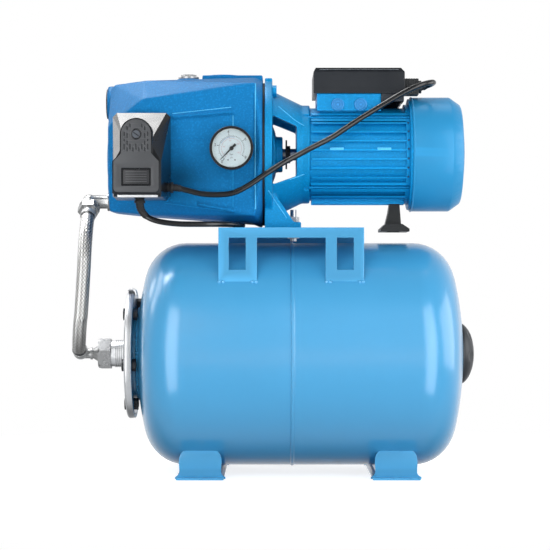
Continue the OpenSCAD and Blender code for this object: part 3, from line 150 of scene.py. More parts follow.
class Graph:
    """Short ways to add, fill and link the nodes of one tree."""

    def __init__(self, tree):
        self.t = tree

    def link(self, a, b):
        self.t.links.new(a, b)

    def node(self, kind, **values):
        n = self.t.nodes.new("ShaderNode" + kind)
        for k, v in values.items():
            setattr(n, k, v)
        return n

    def fill(self, sockets, *values):
        """Puts each value on its socket; a value that is a socket itself is linked."""
        for socket, value in zip(sockets, values):
            if hasattr(value, "is_linked"):
                self.link(value, socket)
            else:
                socket.default_value = value

    def math(self, op, *values):
        n = self.node("Math", operation=op)
        self.fill(n.inputs, *values)
        return n.outputs[0]

    def times(self, a, b):
        return self.math("MULTIPLY", a, b)

    def span(self, value, low, high, at_low=0.0, at_high=1.0, kind="LINEAR"):
        n = self.node("MapRange", interpolation_type=kind)
        self.fill(n.inputs, value, low, high, at_low, at_high)
        return n.outputs[0]

    def blend(self, fac, a, b):
        n = self.node("MixShader")
        self.fill(n.inputs, fac, a, b)
        return n.outputs[0]

    def seen(self):
        """1 for what the camera sees, straight or through glass."""
        rays = self.node("LightPath").outputs
        return self.math("MAXIMUM", rays["Is Camera Ray"], rays["Is Transmission Ray"])


class Shader(Graph):
    """One material, built round its Principled BSDF."""

    def __init__(self, name, rgb, rough, metal=0.0):
        color = srgb(*rgb)
        self.m = bpy.data.materials.new(name)
        self.m.use_nodes = True
        self.m.diffuse_color = color
        super().__init__(self.m.node_tree)
        self.b = self.t.nodes["Principled BSDF"]
        self.set("Base Color", color)
        self.set("Roughness", rough)
        self.set("Metallic", metal)
        self.color = color
        self.place = None
        self.height = None

    def set(self, key, value):
        self.b.inputs[key].default_value = value

    def coords(self):
        if self.place is None:
            self.place = self.node("TexCoord").outputs["Object"]
        return self.place

    def noise(self, scale, detail=3.0, rough=0.5, stretch=None):
        n = self.node("TexNoise")
        n.inputs["Scale"].default_value = scale
        n.inputs["Detail"].default_value = detail
        n.inputs["Roughness"].default_value = rough
        src = self.coords()
        if stretch:
            mp = self.node("Mapping")
            mp.inputs["Scale"].default_value = stretch
            self.link(src, mp.inputs["Vector"])
            src = mp.outputs[0]
        self.link(src, n.inputs["Vector"])
        return n.outputs["Fac"]

    def ramp(self, fac, *stops):
        n = self.node("ValToRGB")
        e = n.color_ramp.elements
        while len(e) < len(stops):
            e.new(0.5)
        for el, (pos, col) in zip(e, stops):
            el.position = pos
            el.color = col if isinstance(col, tuple) else (col, col, col, 1)
        self.link(fac, n.inputs["Fac"])
        return n.outputs["Color"]

    def mix(self, fac, a, b):
        n = self.node("Mix", data_type="RGBA")
        self.fill((n.inputs[0], n.inputs[6], n.inputs[7]), fac, a, b)
        return n.outputs[2]

    def tint(self, k):
        return tuple(min(1, c * k) for c in self.color[:3]) + (1,)

    def over(self, base, mask, amount, k):
        """A tint of the material's colour, laid over a base as far as a mask lets it."""
        return self.mix(self.times(mask, amount), base, self.tint(k))

    def pointed(self, *stops):
        return self.ramp(self.node("NewGeometry").outputs["Pointiness"], *stops)

    def edges(self, low, high):
        return self.pointed((low, 0.0), (high, 1.0))

    # Darker in each crease and corner: painted shade.
    def crease_shade(self, low, high):
        return self.pointed((low, 1.0), (high, 0.0))

    def shaded(self, base, at, size, depth):
        """Painted shade: a soft dark place, its centre and its reach in metres."""
        mp = self.node("Mapping")
        mp.inputs["Location"].default_value = [-a / b for a, b in zip(at, size)]
        mp.inputs["Scale"].default_value = [1 / b for b in size]
        self.link(self.coords(), mp.inputs["Vector"])
        ball = self.node("TexGradient", gradient_type="QUADRATIC_SPHERE")
        self.link(mp.outputs[0], ball.inputs[0])
        return self.over(base, ball.outputs["Fac"], depth, 0.12)

    def add_height(self, value, weight):
        h = self.times(value, weight)
        self.height = h if self.height is None else self.math("ADD", self.height, h)

    def done(self, color, rough, bump):
        """Links colour and roughness, and the gathered height as a bump of so many metres."""
        self.link(color, self.b.inputs["Base Color"])
        self.link(rough, self.b.inputs["Roughness"])
        n = self.node("Bump")
        n.inputs["Distance"].default_value = bump
        self.link(self.height, n.inputs["Height"])
        self.link(n.outputs[0], self.b.inputs["Normal"])
        return self.m


def painted(name, rgb, rough=0.34, coat=0.3, peel=0.06, cast=0.0, edge_wear_and_highlight=0.3, spec=0.5,
            sheen=None, haze=0.09, shade_at=()):
    """Sprayed enamel: slow colour drift, orange peel, edges paler from thin paint and a painted
    highlight, painted shade in each crease and at the shade_at places, cast grain if asked.
    """
    s = Shader(name, rgb, rough)
    s.set("Coat Weight", coat)
    s.set("Coat Roughness", haze)
    s.set("Specular IOR Level", spec)
    if sheen:
        s.set("Specular Tint", sheen)
    c = s.mix(s.noise(7, 3, 0.55), s.tint(0.94), s.tint(1.05))
    c = s.over(c, s.noise(60, 3, 0.5, (1, 1, 0.12)), 0.10, 0.8)
    if cast:
        c = s.over(c, s.ramp(s.noise(430, 2, 0.6), (0.5, 0.0), (0.66, 1.0)), 0.5, 1.5)
    pits = s.ramp(s.noise(900, 2, 0.6), (0.60, 0.0), (0.72, 1.0))
    c = s.over(c, pits, 0.25 if cast else 0.05, 0.62)
    # Paler on sharp edges: partly thin paint, partly a painted highlight.
    c = s.over(c, s.edges(0.525, 0.6), edge_wear_and_highlight, 1.55)
    # Darker in each crease: painted shade.
    c = s.over(c, s.crease_shade(0.40, 0.475), 0.5, 0.5)
    # Painted shade at each shade_at place.
    for at, size, depth in shade_at:
        c = s.shaded(c, at, size, depth)
    s.add_height(s.noise(320, 2, 0.4), peel)
    if cast:
        s.add_height(s.noise(900, 4, 0.7), cast)
        s.add_height(s.noise(120, 3, 0.6), cast)
    return s.done(c, s.math("MULTIPLY_ADD", s.noise(45, 3), 0.14, rough - 0.07), 0.0006)


def metal(name, rgb, rough=0.3, brushed=None, stain=0.5, pure=1.0):
    """Bare or plated steel: turned or drawn lines, blotches of dull zinc, painted shade in the
    corners, a painted highlight on sharp edges.
    """
    s = Shader(name, rgb, rough, pure)
    blotch = s.noise(70, 4, 0.65)
    lines = s.noise(900, 2, 0.5, brushed)
    c = s.mix(s.times(blotch, stain), s.tint(1.15), s.tint(0.5))
    c = s.over(c, lines, 0.3, 0.7)
    # Painted shade in each crease and corner; a painted highlight on sharp edges.
    c = s.over(c, s.crease_shade(0.42, 0.49), 0.8, 0.2)
    c = s.over(c, s.edges(0.53, 0.6), 0.5, 1.6)
    s.add_height(lines, 0.10)
    s.add_height(blotch, 0.05)
    r = s.math("MULTIPLY_ADD", blotch, 0.22, rough - 0.1)
    return s.done(c, s.math("MULTIPLY_ADD", lines, 0.12, r), 0.0004)


def plastic(name, rgb, rough=0.45, grain=0.12, scale=900, coat=0.0, rim=2.2):
    """Moulded plastic or rubber: spark-eroded grain, paler edges that are partly rubbed and partly
    a painted highlight, a little handling shine.
    """
    s = Shader(name, rgb, rough)
    s.set("Coat Weight", coat)
    s.set("Coat Roughness", 0.1)
    s.set("Specular IOR Level", 0.33)
    c = s.mix(s.noise(16, 3), s.tint(0.84), s.tint(1.16))
    c = s.over(c, s.noise(240, 3, 0.6), 0.2, 1.5)
    # Paler edges: partly rubbed plastic, partly a painted highlight.
    worn_and_lit_edge = tuple(min(1, v * rim + 0.01) for v in s.color[:3]) + (1,)
    c = s.mix(s.times(s.edges(0.53, 0.64), 0.55), c, worn_and_lit_edge)
    s.add_height(s.noise(scale, 3, 0.6), grain)
    return s.done(c, s.math("MULTIPLY_ADD", s.noise(34, 4), 0.24, rough - 0.12), 0.0004)


def braid_material():
    """Woven stainless wire from the tube's own UVs: strands over and under, painted shade between
    the strands, painted reflections in dark and light lengthwise bands.
    """
    strands_round, strands_per_metre = 14.0, 200.0
    s = Shader("braid_wire", (150, 151, 153), 0.38, 1.0)
    uv = s.node("UVMap", uv_map="uv")
    sep = s.node("SeparateXYZ")
    s.link(uv.outputs[0], sep.inputs[0])
    u, v = sep.outputs[0], sep.outputs[1]
    around = s.times(u, strands_round)
    along = s.times(v, strands_per_metre)
    a = s.math("ADD", around, along)
    b = s.math("SUBTRACT", around, along)

    def strand(x):
        f = s.math("FRACT", x)
        centre = s.math("ABSOLUTE", s.math("SUBTRACT", f, 0.5))
        crown = s.math("SUBTRACT", 1.0, s.math("POWER", s.times(centre, 2.0), 2.0))
        wires = s.math("ABSOLUTE", s.math("SINE", s.times(f, pi * 4)))
        return s.math("MULTIPLY_ADD", wires, 0.35, s.times(crown, 0.75))

    cell = s.math("ABSOLUTE", s.math("ADD", s.math("FLOOR", a), s.math("FLOOR", b)))
    over = s.math("GREATER_THAN", s.math("MODULO", cell, 2.0), 0.5)
    weave = s.node("Mix", data_type="FLOAT")
    s.fill((weave.inputs[0], weave.inputs[2], weave.inputs[3]), over, strand(a), strand(b))
    h = weave.outputs[0]
    # Dark where the weave sinks between the strands: painted shade.
    wire = s.ramp(h, (0.4, srgb(34, 34, 35)), (1.0, srgb(236, 235, 232)))
    turn_angle = s.times(u, tau)
    join = s.node("CombineXYZ")
    s.fill(join.inputs, s.math("COSINE", turn_angle), s.math("SINE", turn_angle),
           s.times(v, 1.6))
    n = s.node("TexNoise")
    n.inputs["Scale"].default_value = 3.2
    n.inputs["Detail"].default_value = 3.0
    s.link(join.outputs[0], n.inputs["Vector"])
    # Dark and light lengthwise bands: painted reflections.
    dark_reflection_streak = s.ramp(n.outputs["Fac"], (0.36, 1.0), (0.52, 0.0))
    wire = s.mix(s.times(dark_reflection_streak, 0.6), wire, srgb(40, 40, 41))
    shine = s.ramp(n.outputs["Fac"], (0.56, 0.0), (0.66, 1.0))
    wire = s.mix(s.times(shine, 0.5), wire, srgb(226, 227, 229))
    s.add_height(h, 0.6)
    return s.done(wire, s.math("MULTIPLY_ADD", h, -0.15, 0.5), 0.0006)


def glass_material():
    s = Shader("lens_glass", (255, 255, 255), 0.03)
    clear = s.node("BsdfTransparent")
    clear.inputs[0].default_value = (0.97, 0.985, 0.99, 1)
    gloss = s.node("BsdfGlossy")
    gloss.inputs["Roughness"].default_value = 0.04
    fresnel = s.node("Fresnel")
    fresnel.inputs["IOR"].default_value = 1.45
    dust = s.math("MULTIPLY_ADD", s.noise(30, 4), 0.03, fresnel.outputs[0])
    lens = s.blend(dust, clear.outputs[0], gloss.outputs[0])
    s.link(lens, s.t.nodes["Material Output"].inputs[0])
    return s.m


BLUE_SHEEN, PALE_SHEEN = (0.11, 0.54, 1.0, 1), (0.35, 0.7, 1, 1)
# The tank's enamel carries painted shade round the neck.
TANK = painted("tank_enamel", (63, 150, 199), coat=1.0, peel=0.03, spec=0.2, haze=0.2,
               shade_at=[((-0.203, 0, 0.150), (0.018, 0.25, 0.25), 0.75)])
# The bracket's enamel: strongly paler edges, partly thin paint and partly painted highlight; the
# feet's faces take it too.
BRACKET = painted("bracket_enamel", (66, 143, 187), 0.36, coat=0.4, peel=0.04, edge_wear_and_highlight=0.8,
                  spec=0.3, sheen=(0.4, 0.7, 1, 1))
# The casing's enamel carries a painted shadow low on its front, between the switch and the gauge.
CAST = painted("cast_enamel", (22, 110, 169), 0.46, coat=0.0, peel=0.08, cast=0.4, edge_wear_and_highlight=0.5,
               spec=0.15, sheen=BLUE_SHEEN,
               shade_at=[((-0.146, -0.083, 0.369), (0.095, 0.07, 0.06), 1.0)])
LANTERN = painted("lantern_enamel", (6, 124, 178), 0.42, coat=0.0, peel=0.08, cast=0.3,
                  edge_wear_and_highlight=0.5, spec=0.9, sheen=BLUE_SHEEN)
MOTOR = painted("motor_enamel", (9, 127, 184), 0.4, coat=0.0, peel=0.05, cast=0.10, edge_wear_and_highlight=0.6,
                spec=0.9, sheen=BLUE_SHEEN)
BOX = painted("box_enamel", (14, 123, 180), 0.42, coat=0.0, peel=0.05, cast=0.10, edge_wear_and_highlight=0.5,
              spec=0.9, sheen=BLUE_SHEEN)
# Paler enamel for painted highlights on the castings' steps, ribs, fillets, arms and lugs.
HIGHLIGHT_ENAMEL = painted("painted_highlight_enamel", (80, 170, 214), 0.42, coat=0.0, peel=0.05, cast=0.10, edge_wear_and_highlight=0.4,
              sheen=BLUE_SHEEN)
COVER = painted("fan_cover_enamel", (38, 133, 184), 0.36, coat=0.1, peel=0.04,
                sheen=PALE_SHEEN)
PLUGS = plastic("blue_plug", (24, 120, 182), 0.42, grain=0.06, coat=0.2)
ZINC = metal("zinc_plate", (214, 216, 218), 0.34)
NICKEL = metal("nickel_plate", (160, 161, 161), 0.22, stain=0.7, pure=0.8)
PLATED = metal("plated_steel", (168, 169, 169), 0.27, stain=0.6, pure=0.6)
NUT = metal("nut_steel", (158, 159, 160), 0.22, stain=0.6, pure=0.75)
STEEL = metal("bright_steel", (116, 117, 118))
TURNED = metal("turned_steel", (205, 206, 208), 0.24, brushed=(8, 1, 1))
DARK = metal("dark_zinc", (80, 84, 90), 0.38)
BLACKENED = plastic("blackened_steel", (34, 36, 40), 0.36, grain=0.05, coat=0.3, rim=3.0)
IRON = metal("lamination_steel", (120, 122, 126), 0.45, brushed=(12, 1, 1))
BRASS = metal("brass", (196, 160, 92))
COPPER = metal("winding_copper", (186, 104, 62), 0.4, brushed=(1, 6, 6))
# Dark navy for painted shade in the motor's pockets.
POCKET_SHADE = plastic("pocket_shade", (6, 52, 92), 0.6)
RUBBER = plastic("black_rubber", (24, 25, 27), 0.55, grain=0.1, scale=700)
CABLE = plastic("cable_sheath", (13, 14, 16), 0.3, grain=0.04, scale=500, coat=0.3)
BLACK = plastic("black_plastic", (20, 23, 25), 0.42, grain=0.14)
LID = plastic("lid_plastic", (13, 16, 20), 0.36, grain=0.16, scale=620, rim=9.0)
SWITCH = plastic("switch_plastic", (7, 10, 14), 0.24, grain=0.015, coat=0.18, rim=6.0)
PANEL = plastic("switch_panel", (56, 58, 61), 0.44, scale=1400, rim=3.0)
RECESS = plastic("switch_recess", (26, 27, 30), 0.4, grain=0.06, scale=1400, rim=3.0)
# Paler lid plastic for painted highlights along the lid's edges.
LID_HIGHLIGHT = plastic("lid_edge_highlight", (84, 89, 94), 0.3, grain=0.05, coat=0.3)
# Pale plastic for a painted highlight along the switch cover's lower edge.
HIGHLIGHT_BAR = plastic("pale_highlight_bar", (178, 180, 184), 0.3, grain=0.03, coat=0.5)
CAP = plastic("cap_plastic", (34, 37, 41), 0.4, grain=0.1)
INK = plastic("dial_ink", (14, 16, 22), 0.5, grain=0.02)
INK_RED = plastic("dial_ink_red", (186, 120, 122), 0.5, grain=0.02)
INK_BLUE = plastic("dial_ink_blue", (96, 128, 170), 0.5, grain=0.02)
BEZEL = plastic("gauge_plastic", (16, 17, 19), 0.3, grain=0.04, coat=0.3)
DIAL = plastic("dial_enamel", (172, 183, 191), 0.4, grain=0.02, scale=400)
POINTER = plastic("pointer_black", (12, 12, 14), 0.35, grain=0.02)
CREAM = plastic("capacitor_can", (222, 222, 214), grain=0.05)
BAKELITE = plastic("contact_block", (120, 62, 40), 0.4, grain=0.08)
CERAMIC = plastic("seal_ceramic", (220, 214, 200), 0.25, grain=0.02)
GLASS = glass_material()
BRAID = braid_material()

FINISH = {
    TANK: ["tank_shell_left", "tank_shell_right", "left_foot", "right_foot"],
    BRACKET: ["pump_bracket"],
    CAST: ["pump_casing"],
    LANTERN: ["lantern_bracket", "casing_bolts"],
    MOTOR: ["motor_housing", "rear_end_shield", "tie_rods"],
    COVER: ["fan_cover"],
    BOX: ["terminal_box"],
    PLUGS: ["box_plugs"],
    RUBBER: ["tank_bladder", "suction_seal", "casing_gasket", "slinger", "switch_glands",
             "mains_plug"],
    ZINC: ["tank_flange", "tank_nipple", "foot_bolt"],
    BLACKENED: ["flange_fasteners"],
    BRASS: ["air_valve_body", "air_valve_pin", "impeller"],
    CAP: ["air_valve_cap"],
    NUT: ["union_nut"],
    PLATED: ["hose_tail", "hose_ferrules", "priming_plug"],
    NICKEL: ["hose_upper_nut", "outlet_elbow"],
    BLACK: ["ejector", "diffuser", "cooling_fan", "motor_cable_gland", "motor_foot"],
    CERAMIC: ["seal_seat"],
    TURNED: ["pump_shaft"],
    DARK: ["seal_head", "switch_base", "cover_screw"],
    STEEL: ["shaft_bearings", "switch_lever"],
    COPPER: ["wound_stator"],
    IRON: ["rotor_core"],
    LID: ["terminal_box_lid"],
    CREAM: ["capacitor"],
    BEZEL: ["gauge_case"],
    DIAL: ["gauge_dial"],
    POINTER: ["gauge_pointer"],
    GLASS: ["gauge_lens"],
    SWITCH: ["switch_cover"],
    BAKELITE: ["switch_contacts"],
}
for finish, names in FINISH.items():
    for name in names:
        for ms in NODES[name].material_slots:
            ms.link = "OBJECT"
            ms.material = finish

WELD_WITHIN = 0.00002  # metres
FLAT_WITHIN, SHARP_FROM = 0.8, 32  # degrees: joined as one flat face, and rounded


def weld(ob):
    ob.modifiers.new("weld", "WELD").merge_threshold = WELD_WITHIN


# Castings get the soft corners of a sand mould: remeshed at the voxel's size, then smoothed
for name, voxel, steps in (("pump_casing", 0.0013, 15), ("lantern_bracket", 0.0012, 6)):
    ob = NODES[name]
    weld(ob)
    r = ob.modifiers.new("voxels", "REMESH")
    r.mode = "VOXEL"
    r.voxel_size = voxel
    r.use_smooth_shade = True
    m = ob.modifiers.new("soft", "SMOOTH")
    m.factor = 0.5
    m.iterations = steps

# Pressed and moulded corners are rounded on the other carried nodes: radius in metres, nodes
ROUND = {
    0.0024: ["switch_cover"],
    0.002: ["terminal_box"],
    0.0016: ["terminal_box_lid"],
    0.0012: ["motor_foot", "motor_cable_gland"],
    0.0009: ["pump_bracket"],
    0.0008: ["left_foot", "right_foot", "mains_plug"],
    0.0007: ["motor_housing"],
    0.0006: ["box_plugs", "gauge_case", "air_valve_cap", "union_nut", "fan_cover",
             "rear_end_shield", "switch_base"],
    0.0005: ["hose_upper_nut"],
    0.0004: ["casing_bolts", "foot_bolt", "flange_fasteners", "priming_plug", "switch_glands",
             "cooling_fan", "tank_shell_left", "tank_shell_right", "casing_gasket", "tank_flange"],
    0.0003: ["outlet_elbow", "hose_tail", "hose_ferrules"],
}
for width, names in ROUND.items():
    for name in names:
        ob = NODES[name]
        weld(ob)
        d = ob.modifiers.new("flat", "DECIMATE")
        d.decimate_type = "DISSOLVE"
        d.angle_limit = radians(FLAT_WITHIN)
        b = ob.modifiers.new("round", "BEVEL")
        b.width = width
        b.segments = 3
        b.limit_method = "ANGLE"
        b.angle_limit = radians(SHARP_FROM)
        b.harden_normals = False
        b.use_clamp_overlap = True

# Cords: the points are part.scad's own

COIL_X, COIL_Y, COIL_R = -14, 128, 38
COIL_LOW, COIL_PITCH, COIL_STEP = 3.9, 6.95, 24  # first turn's height, rise of a turn, degrees
mains_drop = [
    (-191, -112, 345), (-191, -112, 336), (-189.5, -112, 328.5), (-184.5, -112.5, 321.5),
    (-176, -113, 316.4), (-163, -112.5, 313), (-144, -110.5, 311), (-122, -107, 310.8),
    (-104, -102.5, 311), (-88, -94.5, 311.1), (-76, -82, 311), (-69.5, -66, 311), (-68.5, -46, 311),
    (-71, -10, 311), (-73, 35, 311), (-72.5, 70, 311), (-72.5, 88, 311), (-73, 100.5, 311.2),
    (-73.8, 110.6, 309.4), (-74.7, 119, 304.4), (-75.7, 125.2, 297.2), (-76.6, 128.6, 288.5),
    (-78, 130, 275), (-80, 130.2, 252), (-82, 132, 230), (-84, 137.5, 205), (-85.2, 143, 180),
    (-86, 146, 150), (-86, 147, 110), (-85.5, 147.5, 70), (-84, 148.5, 45), (-79, 150.5, 26),
    (-69.5, 154, 12.5), (-56, 159, 5.8), (-40, 163.2, 3.9), (-26, 165.5, 3.9)]
mains_coil = [(COIL_X + COIL_R * sin(radians(COIL_STEP * i)),
               COIL_Y + COIL_R * cos(radians(COIL_STEP * i)),
               COIL_LOW + COIL_PITCH * COIL_STEP * i / 360) for i in range(37)]
mains_end = [
    (-2, 92.2, 20.9), (-20, 90.2, 21.6), (-36, 91.5, 21.4), (-53, 97, 20.4), (-68, 105, 19.7),
    (-81, 110.6, 19.5), (-92, 112, 19.5), (-104, 112, 19.5)]
link_route = [
    (-157, -108, 355), (-147, -108, 354.6), (-134, -107.5, 351.5), (-117, -106.5, 347.5),
    (-96, -105, 346.5), (-78, -103.5, 349), (-60, -102, 358), (-40, -100, 371.5), (-20, -97, 384.5),
    (1, -90, 396), (18, -82, 405.5), (42, -75, 418.5), (70, -68, 437.5), (96, -63.5, 454),
    (120, -63.5, 468.5), (138, -63.5, 478.3), (150, -62, 483.2), (159.5, -58.5, 486.3),
    (165.8, -52, 488), (168.6, -43.5, 488.6), (167.4, -35, 488), (163, -28.2, 486.6),
    (157.5, -25.5, 485.3), (152, -25, 485), (146, -25, 485)]
tx, tz = -273.4, 150  # the tail's elbow on the tank
px, pz = -263, 342  # the elbow on the pump
hose_route = [
    (tx, -9.7, tz + 2.6), (tx, -16.4, tz + 4.4), (tx, -23.2, tz + 6.2),
    (tx + 0.5, -34.6, tz + 11.3), (tx + 1.9, -45, tz + 19.4), (tx + 3.3, -52.9, tz + 30),
    (tx + 4.7, -58, tz + 42.5), (tx + 6.1, -59.8, tz + 54.1), (px - 1.2, -58.5, pz - 85.6),
    (px - 0.6, -56.8, pz - 69.3), (px - 0.2, -51.7, pz - 53.8), (px, -43.6, pz - 39.6),
    (px, -33.3, pz - 28), (px, -25.3, pz - 21.2), (px, -20.7, pz - 17.4)]
CABLE_R, HOSE_R = 0.0034, 0.0085

mains_line = smooth_line(mains_drop + mains_coil + mains_end, 6)
link_line = smooth_line(link_route, 8)
hose_line = smooth_line(hose_route, 12)
mains = tube("mains_lead", mains_line, CABLE_R, 20, CABLE)
link = tube("link_lead", link_line, CABLE_R, 20, CABLE)
hose = tube("hose_braid", hose_line, HOSE_R, 48, BRAID)
for ob, nodes in ((mains, ["mains_cable", "mains_coil"]), (link, ["link_cable"]),
                  (hose, ["braided_hose"])):
    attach(ob, "base")
    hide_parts(*nodes)

# Detail pieces. Sizes are in millimetres; every piece rides on the body that carries it

TANK_Z, SHAFT_Z = 150.0, 402.0
FRONT, RIGHT, LEFT, UP, DOWN = (0, -1, 0), (1, 0, 0), (-1, 0, 0), (0, 0, 1), (0, 0, -1)
SOFT_EDGE = dict(segments=2, affect="EDGES", profile=0.6)


def basis(axis):
    a = Vector(axis).normalized()
    ref = Vector((0, 0, 1)) if abs(a.z) < 0.9 else Vector((1, 0, 0))
    u = (ref - ref.dot(a) * a).normalized()
    return a, u, a.cross(u)


def put(name, bm, material, body="base", smooth=32):
    bmesh.ops.recalc_face_normals(bm, faces=bm.faces)
    mesh = bpy.data.meshes.new(name)
    bm.to_mesh(mesh)
    bm.free()
    ob = new_object(name, mesh, material, smooth)
    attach(ob, body)
    return ob


def turn(bm, at, axis, profile, seg, wrap=False):
    """A profile of (radius, height) turned about an axis that starts at a point."""
    a, u, v = basis(axis)
    rings = []
    for r, h in profile:
        c = Vector(at) * MM + a * (h * MM)
        points = [c] if r < 1e-6 else circle(c, u, v, r * MM, seg)
        rings.append([bm.verts.new(p) for p in points])
    pairs = list(zip(rings, rings[1:])) + ([(rings[-1], rings[0])] if wrap else [])
    for p, q in pairs:
        for k in range(seg):
            n = (k + 1) % seg
            if len(p) == 1 and len(q) > 1:
                bm.faces.new((p[0], q[n], q[k]))
            elif len(q) == 1 and len(p) > 1:
                bm.faces.new((p[k], p[n], q[0]))
            elif len(p) > 1:
                bm.faces.new((p[k], p[n], q[n], q[k]))


def turned(name, material, turns, body="base", smooth=32):
    """One piece of several turned forms, each given as turn() takes it."""
    bm = bmesh.new()
    for form in turns:
        turn(bm, *form)
    put(name, bm, material, body, smooth)


def blocks(name, material, boxes):
    """One piece of several boxes: two corners each, and how far the edges are rounded."""
    bm = bmesh.new()
    for lo, hi, soft in boxes:
        lo, hi = Vector(lo) * MM, Vector(hi) * MM
        made = bmesh.ops.create_cube(bm, size=1)["verts"]
        for v in made:
            v.co = Vector([(lo[i] + hi[i]) / 2 + v.co[i] * (hi[i] - lo[i]) for i in range(3)])
        edges = list({e for v in made for e in v.link_edges})
        bmesh.ops.bevel(bm, geom=edges, offset=soft * MM, **SOFT_EDGE)
    put(name, bm, material)


def plate(bm, outline, y0, y1, soft=0.0):
    """An outline in X and Z, pushed from y0 to y1."""
    n = len(outline)
    a = [bm.verts.new((x * MM, y0 * MM, z * MM)) for x, z in outline]
    b = [bm.verts.new((x * MM, y1 * MM, z * MM)) for x, z in outline]
    bm.faces.new(a)
    bm.faces.new(b[::-1])
    for k in range(n):
        bm.faces.new((a[k], b[k], b[(k + 1) % n], a[(k + 1) % n]))
    if soft:
        rim = [e for e in bm.edges if e.verts[0] in a and e.verts[1] in a]
        bmesh.ops.bevel(bm, geom=rim, offset=soft * MM, **SOFT_EDGE)


def lump(bm, at, size, seg=12):
    """A small oval blob, as a tack weld leaves."""
    made = bmesh.ops.create_uvsphere(bm, u_segments=seg, v_segments=seg // 2 + 2, radius=1)["verts"]
    for v in made:
        v.co = Vector([(at[i] + v.co[i] * size[i]) * MM for i in range(3)])


def strip(name, points, radius, material):
    """A thin line along an edge; its radius is in metres."""
    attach(tube(name, smooth_line(points, 4), radius, 10, material, Vector((0, 0.3, 1))), "base")


def arc(cx, cz, r, a0, a1, n):
    return [(cx + r * cos(radians(a0 + (a1 - a0) * k / n)),
             cz + r * sin(radians(a0 + (a1 - a0) * k / n))) for k in range(n + 1)]

# Gauge: scale, numbers and an inner scale on the dial

GX, GZ, GY = -81.0, 403.0, -96.5  # the gauge's axis, and the dial's face
DIAL_START, DIAL_STEP = 235.0, 67.0  # degrees: the zero, and from one number to the next


def dial_mark(bm, angle, r0, r1, w):
    a = radians(angle)
    d, s = (cos(a), sin(a)), (-sin(a), cos(a))
    pts = [(GX + d[0] * r + s[0] * k * w / 2, GZ + d[1] * r + s[1] * k * w / 2)
           for r, k in ((r0, -1), (r0, 1), (r1, 1), (r1, -1))]
    bm.faces.new([bm.verts.new((x * MM, (GY - 0.06) * MM, z * MM)) for x, z in pts])


def dial_arc(bm, r, w, a0, a1, n=60):
    inner, outer = arc(GX, GZ, r - w / 2, a0, a1, n), arc(GX, GZ, r + w / 2, a0, a1, n)
    vi = [bm.verts.new((x * MM, (GY - 0.05) * MM, z * MM)) for x, z in inner]
    vo = [bm.verts.new((x * MM, (GY - 0.05) * MM, z * MM)) for x, z in outer]
    for k in range(n):
        bm.faces.new((vi[k], vi[k + 1], vo[k + 1], vo[k]))


def digits(bm, text, angle, r, size):
    curve = bpy.data.curves.new("digits", "FONT")
    curve.body = text
    curve.size = size * MM
    curve.align_x = "CENTER"
    curve.align_y = "CENTER"
    curve.resolution_u = 3
    mesh = curve_mesh(curve)
    a = radians(angle)
    at = Vector((GX + r * cos(a), GY - 0.07, GZ + r * sin(a))) * MM
    mesh.transform(Matrix.Translation(at) @ Matrix.Rotation(radians(90), 4, "X"))
    bm.from_mesh(mesh)
    bpy.data.meshes.remove(mesh)


def dial_scale(name, ink, r, line, parts, mark, unit, text_r, size):
    """An arc with so many parts to a number; mark gives each mark's outer radius and width."""
    bm = bmesh.new()
    for k in range(4 * parts + 1):
        dial_mark(bm, DIAL_START - k * DIAL_STEP / parts, r, *mark(k))
    dial_arc(bm, r, line, DIAL_START, DIAL_START - 4 * DIAL_STEP)
    for k in range(5):
        digits(bm, str(unit * k), DIAL_START - k * DIAL_STEP, text_r, size)
    put(name, bm, ink, smooth=None)


dial_scale("gauge_scale", INK, 15.0, 0.28, 10,
           lambda k: (16.2 if k % 5 else 17.0, 0.26) if k % 10 else (18.2, 0.62), 2, 20.2, 5.2)
dial_scale("gauge_inner_scale", INK_RED, 12.0, 0.22, 7,
           lambda k: (12.8 if k % 7 else 13.6, 0.3), 30, 9.4, 2.3)
bm = bmesh.new()
digits(bm, "bar", 270, 7.2, 3.2)
digits(bm, "psi", 270, 11.0, 2.6)
for x in (-4.2, 4.2):
    turn(bm, (GX + x, GY - 0.02, GZ - 14.0), FRONT, [(0.85, 0.0), (0.8, 0.06), (0, 0.06)], 20)
put("gauge_unit_marks", bm, INK, smooth=None)
bm = bmesh.new()
dial_arc(bm, 13.9, 0.5, DIAL_START - 1.2 * DIAL_STEP, DIAL_START - 2.4 * DIAL_STEP)
put("gauge_work_band", bm, INK_BLUE, smooth=None)
# A pale ring on the bezel's inner wall: painted highlight.
turned("gauge_inner_highlight_ring", CREAM, [((GX, GY, GZ), FRONT, [
    (23.4, 0.0), (23.75, 0.0), (23.75, 6.6), (23.3, 6.9), (23.0, 6.6), (23.1, 0.0)], 72, True)],
       smooth=30)
turned("pointer_hub", POINTER, [((GX, GY - 2.4, GZ), FRONT, [
    (0, 0.9), (1.3, 0.8), (2.0, 0.35), (2.3, 0.0), (0, 0)], 32)], "gauge_pointer")

# Pressure switch: slotted panel face with its ribbed recess, the screw's ring, a pale bar along the
# lower edge as a painted highlight

SX, SZ, SY = -190.0, 393.0, -150.0  # the cover's middle, and its front face
PX = SX - 2.5  # the panel's middle
HEAD = 23  # the panel's round head is centred so far above SZ
HEAD_R, SEAT_R, SLOT_W = 16.0, 9.2, 0.55  # slots stay inside the head and clear of the screw
SLOT_STEP = 3.5
EVEN_SLOTS = [(4.4, 11.6), (14.2, 17.6), (20.5, 26.0), (30.5, 35.5), (38.0, 41.0)]
ODD_SLOTS = [(2.2, 7.4), (10.0, 15.5), (18.0, 24.5), (27.5, 32.5), (35.0, 39.5)]


